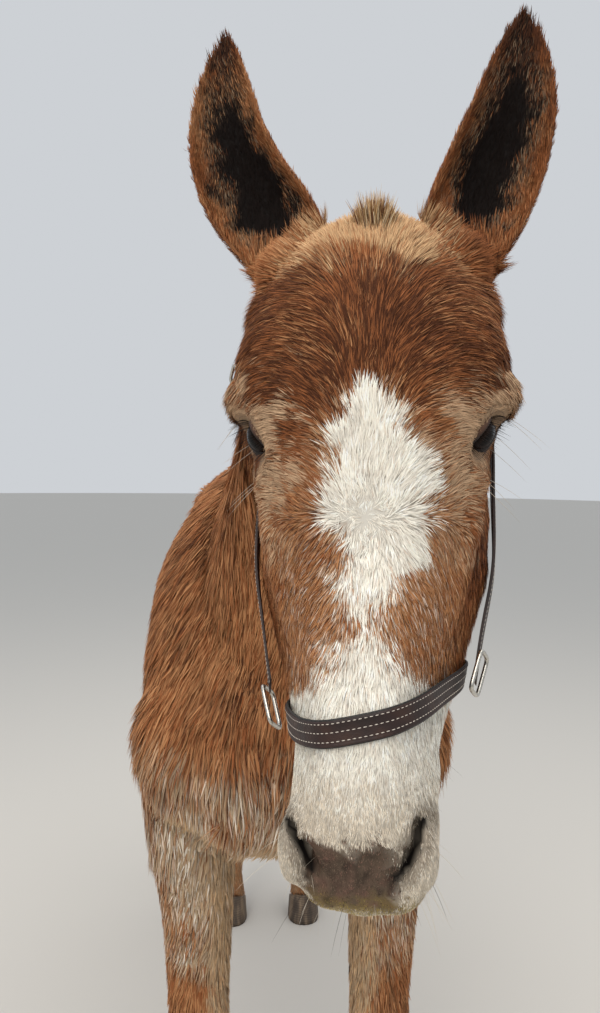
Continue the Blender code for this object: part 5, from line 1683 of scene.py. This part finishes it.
@dataclass(frozen=True)
class Halter:
    """The leather halter: padded noseband, cheek straps and crown strap, stitched, with steel rings."""

    head_frame: HeadFrame
    leather: Material
    padding: Material
    thread: Material
    steel: Material
    around: int = 40

    def build(self) -> None:
        """Makes every strap and ring."""
        head = self.head_frame
        side = head.direction(0, 0, 1)
        nose_side = head.direction(-0.236, 0, 1)
        nose = (head.place(0.404, -0.085, 0.0), nose_side, head.direction(0.137, 1, 0))
        padded = StrapStyle(rows=(-0.77, -0.12, 0.56), padded=True)
        self._strap(StrapPlan("noseband", *nose, whole=True), padded)
        cheek = (head.place(0.240, -0.152, 0.0), side, head.direction(-0.952, -0.307, 0))
        crown = (head.place(0.070, -0.186, 0.0), side, head.direction(-0.979, 0.204, 0))
        planes = {"cheek_strap_left": cheek, "cheek_strap_right": cheek, "crown_strap": crown}
        for node, plane in planes.items():
            self._strap(StrapPlan(node, *plane), StrapStyle())
        for node in ("cheek_ring_left", "cheek_ring_right", "crown_ring_left", "crown_ring_right"):
            self._ring(node)

    @staticmethod
    def _profile(style: StrapStyle, around: int) -> Array:
        """The strap's section: (share across, share through) at places round it."""
        turns = np.linspace(0, 2 * math.pi, around + 1)
        across = rounded(np.cos(turns), 0.22)
        through = 0.5 + 0.5 * rounded(np.sin(turns), 0.35)
        if style.padded:
            through = through * (0.93 + 0.10 * np.cos(across * 4.6 * math.pi - 0.6) * (through > 0.5))
        return np.stack([across * 0.985, through], axis=1)

    @staticmethod
    def _smooth(sections: Array, whole: bool, fine: int = 6) -> Array:
        """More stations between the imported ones, along an eased curve."""
        count = len(sections)
        along = np.arange(count)
        if whole:
            sections = np.concatenate([sections[-2:], sections, sections[:3]])
            along = np.arange(-2, count + 3)
        spots = np.linspace(0, count if whole else count - 1, (count if whole else count - 1) * fine + 1)
        low = np.clip(np.floor(spots).astype(int), along[0], along[-1] - 1)
        share = (spots - low)[:, None, None]
        at = low - along[0]
        before, after = np.maximum(at - 1, 0), np.minimum(at + 2, len(sections) - 1)
        p0, p1, p2, p3 = sections[before], sections[at], sections[at + 1], sections[after]
        return 0.5 * (
            2 * p1
            + (p2 - p0) * share
            + (2 * p0 - 5 * p1 + 4 * p2 - p3) * share**2
            + (3 * p1 - p0 - 3 * p2 + p3) * share**3
        )

    @staticmethod
    def _at(section: Array, across: Array, through: Array) -> Array:
        """Places in a strap's section, by shares across and through it."""
        share = ((across + 1) / 2)[:, None]
        inner = section[:, 0] * (1 - share) + section[:, 2] * share
        outer = section[:, 1] * (1 - share) + section[:, 3] * share
        return inner + (outer - inner) * through[:, None]

    def _strap(self, plan: StrapPlan, style: StrapStyle) -> None:
        """One strap with its stitches, and padding where it has it."""
        sections = self._smooth(plan.sections(), plan.whole)
        count = len(sections) - 1
        profile = self._profile(style, self.around)

        def body(low: float, high: float, narrow: float) -> Callable[[Array, Array], Array]:
            """A layer of the strap, between two shares of its thickness."""

            def place(along: Array, around: Array) -> Array:
                """Where the layer's grid lies."""
                station = np.round(along * count).astype(int)
                if plan.whole:
                    station[station == count] = 0
                turn = np.round(around * self.around).astype(int) % self.around
                through = low + (high - low) * profile[turn, 1]
                return self._at(sections[station], profile[turn, 0] * narrow, through)

            return place

        counts = (count, self.around)
        layer = body(0.02, 1.0, 1.0)
        if style.padded:
            pad = bent_grid(f"{plan.node}_padding", counts, body(0.02, 0.62, 1.0), self.padding)
            layer = body(0.40, 1.02, 0.90)
        strap = bent_grid(f"{plan.node}_leather", counts, layer, self.leather, capped=not plan.whole)
        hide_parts(plan.node)
        self._stitches(plan, style, sections)
        log.info("%s: leather, %d stations", plan.node, count)

    def _stitches(self, plan: StrapPlan, style: StrapStyle, sections: Array) -> None:
        """Rows of thread along the strap's outer face."""
        bm = bmesh.new()
        bmesh.ops.create_icosphere(bm, subdivisions=1, radius=0.5)
        ball = np.array([vert.co for vert in bm.verts])
        triangles = np.array([[vert.index for vert in face.verts] for face in bm.faces])
        bm.free()
        places = []
        level = np.full(len(sections), 0.985)
        for row in style.rows:
            across = np.full(len(sections), row * 0.93)
            line = self._at(sections, across, level)
            out = unit(line - self._at(sections, across, 0 * level))
            run = np.concatenate([[0], np.cumsum(np.linalg.norm(np.diff(line, axis=0), axis=1))])
            number = int(run[-1] / style.pitch)
            spots = (np.arange(number) + 0.5) * run[-1] / number
            at = sampled(spots, run, line)
            ahead = unit(sampled(spots + 1 * MM, run, line) - at)
            up = unit(sampled(spots, run, out))
            over = np.cross(ahead, up)
            frames = np.stack([ahead * style.stitch, over * style.thread, up * style.thread], axis=1)
            places.append(np.einsum("vk,nkj->nvj", ball, frames) + at[:, None])
        spread = np.concatenate(places)
        faces = (np.arange(len(spread))[:, None, None] * len(ball) + triangles).reshape(-1, 3)
        made = object_from_arrays(f"{plan.node}_stitches", spread.reshape(-1, 3), faces, self.thread)
        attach(made, BODY)

    def _ring(self, node: str) -> None:
        """A rounded rectangular ring of steel wire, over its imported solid."""
        places = np.unique(np.round(solid_corners(node), 6), axis=0)
        mean = places.mean(axis=0)
        middle = (places.min(axis=0) + places.max(axis=0)) / 2
        middle = mean if np.linalg.norm(mean - middle) < 2 * MM else middle
        _, _, axes = np.linalg.svd(places - mean, full_matrices=False)
        tall, wide, wire = np.abs((places - middle) @ axes.T).max(axis=0)

        def place(along: Array, around: Array) -> Array:
            """The ring's surface: a superellipse swept by the wire's circle."""
            turn, roll = along * 2 * math.pi, around * 2 * math.pi
            x, y = rounded(np.cos(turn), 0.34) * (tall - wire), rounded(np.sin(turn), 0.34) * (wide - wire)
            line = np.stack([x, y], axis=1)
            flat = line + unit(line * (1.0, tall / wide)) * (np.cos(roll) * wire)[:, None]
            return middle + flat @ axes[:2] + (np.sin(roll) * wire)[:, None] * axes[2]

        made = bent_grid(f"{node}_steel", (96, 14), place, self.steel)
        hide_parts(node)


@dataclass(frozen=True)
class LongHair:
    """The upright clipped mane, the tuft at the poll and the tail, hair by hair."""

    head_frame: HeadFrame
    skin: BVHTree
    material: Material
    mane_hairs: int = 3200
    tuft_hairs: int = 1000
    tail_hairs: int = 3000
    flaxen: str = "#b08a5c"
    pale: str = "#dcc39c"
    brown: str = "#6d4325"
    dark: str = "#2d1c13"

    def _shades(self, count: int, steps: int, dark_root: float, rng: Generator) -> Array:
        """Each hair's colours: flaxen, pale or brown, darker at the root."""
        kinds = np.stack([linear(name) for name in (self.flaxen, self.pale, self.brown)])
        own = kinds[rng.choice(3, count, p=(0.45, 0.33, 0.22))] * rng.uniform(0.75, 1.15, count)[:, None]
        share = np.linspace(0, 1, steps)
        root = dark_root * (1 - smoothstep(0.0, 0.55, share))
        return own[:, None] * (1 - root)[None, :, None] + linear(self.dark) * root[None, :, None]

    def mane(self) -> None:
        """Hairs that stand along the crest, leaning back and to either side."""
        rng = np.random.default_rng(81)
        corners = solid_corners("mane")
        count = self.mane_hairs
        low_y, high_y = corners[:, 1].min() + 0.012, corners[:, 1].max() - 0.022
        levels = np.linspace(low_y, high_y, 14)
        near = [corners[np.abs(corners[:, 1] - y) < 0.022] for y in levels]
        top = np.array([spots[:, 2].max() for spots in near])
        middle = np.array([spots[:, 0].mean() for spots in near])
        y = rng.uniform(low_y, high_y, count)
        across = rng.normal(0, 6.5 * MM, count)
        half_wide = 14 * MM
        x = np.interp(y, levels, middle) + np.clip(across, -half_wide, half_wide)
        down = Vector((0, 0, -1))
        above = np.stack([x, y, np.full(count, corners[:, 2].max() + 0.2)], axis=1)
        roots = np.array([self.skin.ray_cast(Vector(spot), down)[0] for spot in above]) - (0, 0, 3 * MM)
        tall = np.clip(np.interp(y, levels, top) - roots[:, 2], 0.012, 0.07)
        tall *= rng.uniform(0.72, 1.04, count) * (1 - 0.35 * (np.abs(across) / half_wide) ** 2)
        lean = (across / half_wide) * 0.35 + 0.10 * mottle(roots, 0.05, 82) + rng.normal(0, 0.07, count)
        back = 0.25 + 0.12 * mottle(roots, 0.06, 83) + rng.normal(0, 0.08, count)
        steps = np.linspace(0, 1, 5)
        way = np.stack([lean, back - 0.32, np.full(count, 0.95)], axis=1)
        paths = straight_hairs(roots, way, tall, steps)
        paths[:, :, 1] += (0.30 * tall)[:, None] * steps**2
        paths[:, :, 0] += (0.25 * lean * tall)[:, None] * steps**2
        half = rng.uniform(0.35, 0.75, count) * MM
        flat = unit(rng.normal(0, 0.5, (count, 3)) + np.array([1.0, 0, 0]))
        self._finish("mane_hair", "mane", paths, half, flat, self._shades(count, 5, 0.55, rng))

    def tuft(self) -> None:
        """The short tuft between the ears, fanned upward and brown at its root."""
        rng = np.random.default_rng(84)
        count = self.tuft_hairs
        frame = self.head_frame
        share = np.clip(rng.normal(0, 0.45, count), -1, 1)
        depth = rng.normal(0, 0.006, count)
        tall = 0.040 * rng.uniform(0.72, 1.08, count) * (1 - 0.45 * np.abs(share) ** 1.5)
        steps = np.linspace(0, 1, 6)
        lean = share * 0.42 + rng.normal(0, 0.08, count)
        forward = 0.10 - 18 * depth * 0.6 + rng.normal(0, 0.13, count)
        along = 0.020 - tall[:, None] * steps
        out = -0.050 + depth[:, None] + (forward * tall)[:, None] * steps**1.6
        side = 0.004 + (0.015 * share)[:, None] + (lean * tall)[:, None] * steps**1.3
        paths = frame.origin + frame.directions(np.stack([along, out, side], axis=2))
        half = rng.uniform(0.30, 0.62, count) * MM
        flat = unit(rng.normal(0, 0.5, (count, 3)) + np.array([0, -1.0, 0]))
        self._finish("poll_tuft_hair", "forelock", paths, half, flat, self._shades(count, 6, 0.62, rng))

    def tail(self) -> None:
        """Short hair on the dock and long hair that hangs from it."""
        rng = np.random.default_rng(85)
        count = self.tail_hairs
        corners = solid_corners("tail")
        low_z, high_z = corners[:, 2].min(), corners[:, 2].max()
        levels = np.linspace(low_z + 0.02, high_z - 0.02, 26)
        near = [corners[np.abs(corners[:, 2] - z) < 0.035] for z in levels]
        middle_y = np.array([(spots[:, 1].min() + spots[:, 1].max()) / 2 for spots in near])
        wide = np.array([np.abs(spots[:, 0]).max() for spots in near])
        deep = np.array([(spots[:, 1].max() - spots[:, 1].min()) / 2 for spots in near])
        start = high_z - 0.03 - (high_z - low_z) * 0.62 * rng.random(count) ** 1.35
        long = rng.uniform(0.22, 0.52, count) * smoothstep(high_z + 0.04, high_z - 0.30, start) + 0.07
        stop = np.maximum(start - long, low_z + 0.012 + 0.10 * rng.random(count) ** 2)
        angle = rng.uniform(0, 2 * math.pi, count)
        bundle = np.round(angle / (2 * math.pi) * 34) / 34 * 2 * math.pi
        spread = np.sqrt(rng.uniform(0.25, 1.0, count))
        steps = np.linspace(0, 1, 9)
        z = start[:, None] + (stop - start)[:, None] * steps
        gathered = angle[:, None] + (bundle - angle)[:, None] * smoothstep(0.1, 1.0, steps) * 0.8
        gathered += (0.20 * mottle(np.stack([angle, start * 9, angle], axis=1), 2.0, 86))[:, None] * steps
        out = spread[:, None] * (0.80 + 0.14 * smoothstep(0, 0.3, steps)) * (1 - 0.30 * steps**4)
        x = np.interp(z, levels, wide) * np.cos(gathered) * out
        y = np.interp(z, levels, middle_y) + np.interp(z, levels, deep) * np.sin(gathered) * out
        wave = 0.004 * np.sin(z * 26 + bundle[:, None] * 5)
        paths = np.stack([x + wave * steps, y + wave * steps, z], axis=2)
        half = rng.uniform(0.55, 1.05, count) * MM
        outward = np.stack([np.cos(angle), np.sin(angle), 0 * angle], axis=1)
        flat = unit(outward + rng.normal(0, 0.4, (count, 3)))
        self._finish("tail_hair", "tail", paths, half, flat, self._shades(count, 9, 0.45, rng))

    def _finish(
        self, name: str, node: str, paths: Array, half: Array, flat: Array, colours: Array
    ) -> None:
        """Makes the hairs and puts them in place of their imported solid."""
        made = Strands().build(name, paths, half, flat, colours, self.material)
        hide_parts(node)


@dataclass(frozen=True)
class Hooves:
    """The four hooves: ringed, worn horn, smoothed from their solids."""

    horn: Material
    crease_from: float = 38.0

    def build(self) -> None:
        """Smooths each hoof, keeping the edge of its sole."""
        for node in ("forehoof_left", "forehoof_right", "hind_hoof_left", "hind_hoof_right"):
            bm = bmesh.new()
            bm.from_mesh(bpy.data.objects[node].data)
            bmesh.ops.remove_doubles(bm, verts=bm.verts, dist=1e-5)
            bmesh.ops.dissolve_limit(bm, angle_limit=math.radians(2), verts=bm.verts, edges=bm.edges)
            crease = bm.edges.layers.float.new("crease_edge")
            for edge in bm.edges:
                if edge.is_manifold and math.degrees(edge.calc_face_angle()) > self.crease_from:
                    edge[crease] = 0.75
            made = object_from_bmesh(bm, f"{node}_horn", self.horn)
            smooth = made.modifiers.new("smooth", "SUBSURF")
            smooth.levels = smooth.render_levels = 2
            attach(made, BODY)
            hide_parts(node)
            log.info("%s: smoothed horn", node)


@dataclass(frozen=True)
class Feelers:
    """The long hairs of the lips and chin, and the horny callus inside each forearm."""

    coat: Coat
    skin: BVHTree
    hair: Material
    callus: Material
    muzzle_hairs: int = 110
    callus_height: float = 0.545
    callus_half: Triple = (10.0 * MM, 5.2 * MM, 21.0 * MM)
    pale: str = "#d9cdbb"
    dark: str = "#3a2b22"

    def whiskers(self) -> None:
        """Long thin hairs out of the lips, the chin and the nostrils' rims."""
        rng = np.random.default_rng(91)
        frame = self.coat.head_frame
        places, normals, _ = mesh_arrays(self.coat.hide)
        along, forward, side = frame.local(places).T
        lips = (along > 0.500) & (along < 0.585) & (forward < -0.030) & (np.abs(side) < 0.075)
        count = self.muzzle_hairs
        chosen = rng.choice(np.flatnonzero(lips), count, replace=False)
        roots, up = places[chosen], normals[chosen]
        long = rng.uniform(12, 40, count) * MM
        down = frame.directions(np.array([0.55, 0.1, 0.0]))
        away = unit(up + down + rng.normal(0, 0.22, up.shape))
        steps = np.linspace(0, 1, 6)
        paths = straight_hairs(roots, away, long, steps)
        paths[:, :, 2] -= (0.22 * long)[:, None] * steps**2
        shades = np.where(rng.random(count)[:, None] < 0.6, linear(self.pale), linear(self.dark))
        colours = np.repeat(shades[:, None], 6, axis=1)
        half = np.full(count, 0.17 * MM)
        made = Strands().build("whiskers", paths, half, np.roll(up, 1, axis=1), colours, self.hair)

    def calluses(self) -> None:
        """An oval of rough dark horn on the inner side of each foreleg, above the knee."""
        for left in (-1, 1):
            side = "left" if left > 0 else "right"
            low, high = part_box(f"foreleg_{side}")
            start = Vector((0.0, (low.y + high.y) / 2 + 0.012, self.callus_height))
            hit, normal, _, _ = self.skin.ray_cast(start, Vector((left, 0, 0)))
            bm = bmesh.new()
            bmesh.ops.create_icosphere(bm, subdivisions=4, radius=1.0)
            local = np.array([vert.co for vert in bm.verts])
            rough = 1 + 0.10 * mottle(local, 0.5, 92) + 0.05 * mottle(local, 0.2, 93)
            across = normal.cross(Vector((0, 0, 1))).normalized()
            axes = np.array([across, normal, normal.cross(across).normalized()])
            move_corners(bm, (local * rough[:, None] * self.callus_half) @ axes + np.array(hit))
            made = object_from_bmesh(bm, f"callus_{side}", self.callus)
            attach(made, BODY)
        log.info("calluses: two")


@dataclass(frozen=True)
class Tack:
    """The finishes of the halter."""

    def leather(self) -> Material:
        """Dark-brown bridle leather, waxed: a fine pebbled grain of about 1 mm and a low, broken gloss."""
        made, tree, principled = new_material("bridle_leather")
        place = add_node(tree, "ShaderNodeTexCoord").outputs["Object"]
        cloud = add_node(tree, "ShaderNodeTexNoise", {"Vector": place, "Scale": every(22.2), "Detail": 4.0})
        grain = add_node(tree, "ShaderNodeTexVoronoi", {"Vector": place, "Scale": every(1.18)})
        crease = add_node(tree, "ShaderNodeTexNoise", {"Vector": place, "Scale": every(3.85), "Detail": 3.0})
        colour = ramp(tree, cloud.outputs[0], [(0.30, "#1d1210"), (0.55, "#2e1d19"), (0.80, "#41291f")])
        rough = add_node(tree, "ShaderNodeMapRange", {0: crease.outputs[0], 3: 0.38, 4: 0.62})
        both = {0: grain.outputs[0], 1: crease.outputs[0]}
        height = add_node(tree, "ShaderNodeMath", both, operation="ADD")
        relief = {"Height": height.outputs[0], "Strength": 0.35, "Distance": 0.0005}
        bump = add_node(tree, "ShaderNodeBump", relief)
        plug(tree, principled, {"Base Color": colour, "Roughness": rough.outputs[0]})
        plug(tree, principled, {"Normal": bump.outputs[0], "Specular IOR Level": 0.4})
        return made

    def padding(self) -> Material:
        """Soft black lining leather: matt, finely wrinkled across its rolled edge."""
        made, tree, principled = new_material("lining_leather")
        place = add_node(tree, "ShaderNodeTexCoord").outputs["Object"]
        crease = add_node(tree, "ShaderNodeTexNoise", {"Vector": place, "Scale": every(2.38), "Detail": 5.0})
        colour = ramp(tree, crease.outputs[0], [(0.35, "#11100f"), (0.65, "#2c2926")])
        relief = {"Height": crease.outputs[0], "Strength": 0.5, "Distance": 0.0005}
        bump = add_node(tree, "ShaderNodeBump", relief)
        plug(tree, principled, {"Base Color": colour, "Normal": bump.outputs[0], "Roughness": 0.6})
        return made

    def thread(self) -> Material:
        """Waxed cream thread: two plies seen as a fine twist of about 0.5 mm."""
        made, tree, principled = new_material("waxed_thread")
        place = add_node(tree, "ShaderNodeTexCoord").outputs["Object"]
        twist = add_node(tree, "ShaderNodeTexNoise", {"Vector": place, "Scale": every(0.5), "Detail": 1.0})
        colour = ramp(tree, twist.outputs[0], [(0.3, "#b9ada0"), (0.7, "#e9dfd2")])
        plug(tree, principled, {"Base Color": colour, "Roughness": 0.6})
        return made

    def steel(self) -> Material:
        """Stainless steel wire, drawn and polished: bright, with fine handling scratches."""
        made, tree, principled = new_material("stainless_steel")
        place = add_node(tree, "ShaderNodeTexCoord").outputs["Object"]
        marks = add_node(tree, "ShaderNodeTexNoise", {"Vector": place, "Scale": every(1.43), "Detail": 4.0})
        colour = ramp(tree, marks.outputs[0], [(0.3, "#b3afa6"), (0.7, "#d8d5cd")])
        rough = add_node(tree, "ShaderNodeMapRange", {0: marks.outputs[0], 3: 0.16, 4: 0.36})
        plug(tree, principled, {"Base Color": colour, "Roughness": rough.outputs[0], "Metallic": 1.0})
        return made


@dataclass(frozen=True)
class Studio:
    """A plain pale floor, soft light and the photograph's viewpoint."""

    head_frame: HeadFrame
    from_poll: Triple = (-0.090, -0.615, -0.218)
    focal_pixels: float = 761.0
    frame_pixels: float = 1013.0
    pitch: float = 3.4
    heading: float = 3.8
    roll: float = 0.75
    lit: Triple = (0.0, -0.6, 1.2)
    # Each soft lamp: its name, its place, its width and its power.
    lamps: tuple[tuple[str, Triple, float, float], ...] = (
        ("sky_key", (-1.2, -3.2, 3.6), 3.0, 78.0),
        ("sky_top", (0.3, 0.2, 4.2), 4.0, 85.0),
    )
    floor_colour: str = "#cfccc6"
    sky_colour: str = "#e9edf2"
    lamp_colour: str = "#fff8ef"

    def camera(self) -> None:
        """The camera, a step in front of the mule's face."""
        data = bpy.data.cameras.new("camera")
        data.sensor_fit = "VERTICAL"
        data.sensor_height = 36.0
        data.lens = data.sensor_height * self.focal_pixels / self.frame_pixels
        data.clip_start = 0.02
        made = bpy.data.objects.new("camera", data)
        made.matrix_world = (
            Matrix.Translation(Vector(self.head_frame.origin) + Vector(self.from_poll))
            @ Matrix.Rotation(math.radians(-self.heading), 4, "Z")
            @ Matrix.Rotation(math.radians(90 - self.pitch), 4, "X")
            @ Matrix.Rotation(math.radians(self.roll), 4, "Z")
        )
        bpy.context.scene.collection.objects.link(made)
        bpy.context.scene.camera = made

    def floor(self) -> None:
        """A wide plain floor, painted matt."""
        made, tree, principled = new_material("pale_floor")
        plug(tree, principled, {"Base Color": rgba(self.floor_colour), "Roughness": 0.9})
        bm = bmesh.new()
        bmesh.ops.create_circle(bm, cap_ends=True, segments=64, radius=30)
        object_from_bmesh(bm, "floor", made)

    def light(self) -> None:
        """An overcast sky, and large soft lamps in front and above."""
        bpy.context.scene.view_settings.view_transform = "Standard"
        world = bpy.data.worlds.new("sky")
        bpy.context.scene.world = world
        world.use_nodes = True
        background = world.node_tree.nodes["Background"]
        plug(world.node_tree, background, {"Color": rgba(self.sky_colour), "Strength": 0.75})
        for name, place, size, watts in self.lamps:
            data = bpy.data.lights.new(name, "AREA")
            data.size = size
            data.energy = watts
            data.color = linear(self.lamp_colour)
            lamp = bpy.data.objects.new(name, data)
            lamp.location = place
            aim = Vector(self.lit) - Vector(place)
            lamp.rotation_euler = aim.to_track_quat("-Z", "Y").to_euler()
            bpy.context.scene.collection.objects.link(lamp)


def main() -> None:
    """Builds and dresses the mule, in order."""
    logging.basicConfig(level=logging.INFO, format="%(message)s")
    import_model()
    head_frame = HeadFrame()
    studio = Studio(head_frame)
    studio.camera()
    studio.floor()
    studio.light()
    fore_y = sum(corner.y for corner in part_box("forehoof_left")) / 2
    hind_y = sum(corner.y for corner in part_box("hind_hoof_left")) / 2
    openings = [np.array(head_frame.direction(0, 1, side * 0.22)) for side in (1, -1)]
    ear_maps = {region: EarMap(region.value, opening) for region, opening in zip(EARS, openings)}
    living = Living()
    seats = [EyeSeat(head_frame, left) for left in (-1, 1)]
    hide = Hide(head_frame, seats).build(living.hide())
    lie = HairLie(head_frame, fore_y, hind_y)
    coat = Coat(hide, head_frame, seats, CoatColours(fore_y), lie, ear_maps)
    coat.dress(living.coat())
    skin = surface_of([hide])
    strand_finish = living.strands()
    eye_finish, lid_finish = living.eyes(), living.lids()
    for left in (-1, 1):
        Eye(head_frame, left, skin=skin).build(eye_finish, lid_finish, strand_finish)
    tack = Tack()
    Halter(head_frame, tack.leather(), tack.padding(), tack.thread(), tack.steel()).build()
    long_hair = LongHair(head_frame, skin, strand_finish)
    long_hair.mane()
    long_hair.tuft()
    long_hair.tail()
    Hooves(living.horn()).build()
    feelers = Feelers(coat, skin, strand_finish, living.callus())
    feelers.whiskers()
    feelers.calluses()


if __name__ == "__main__":
    main()
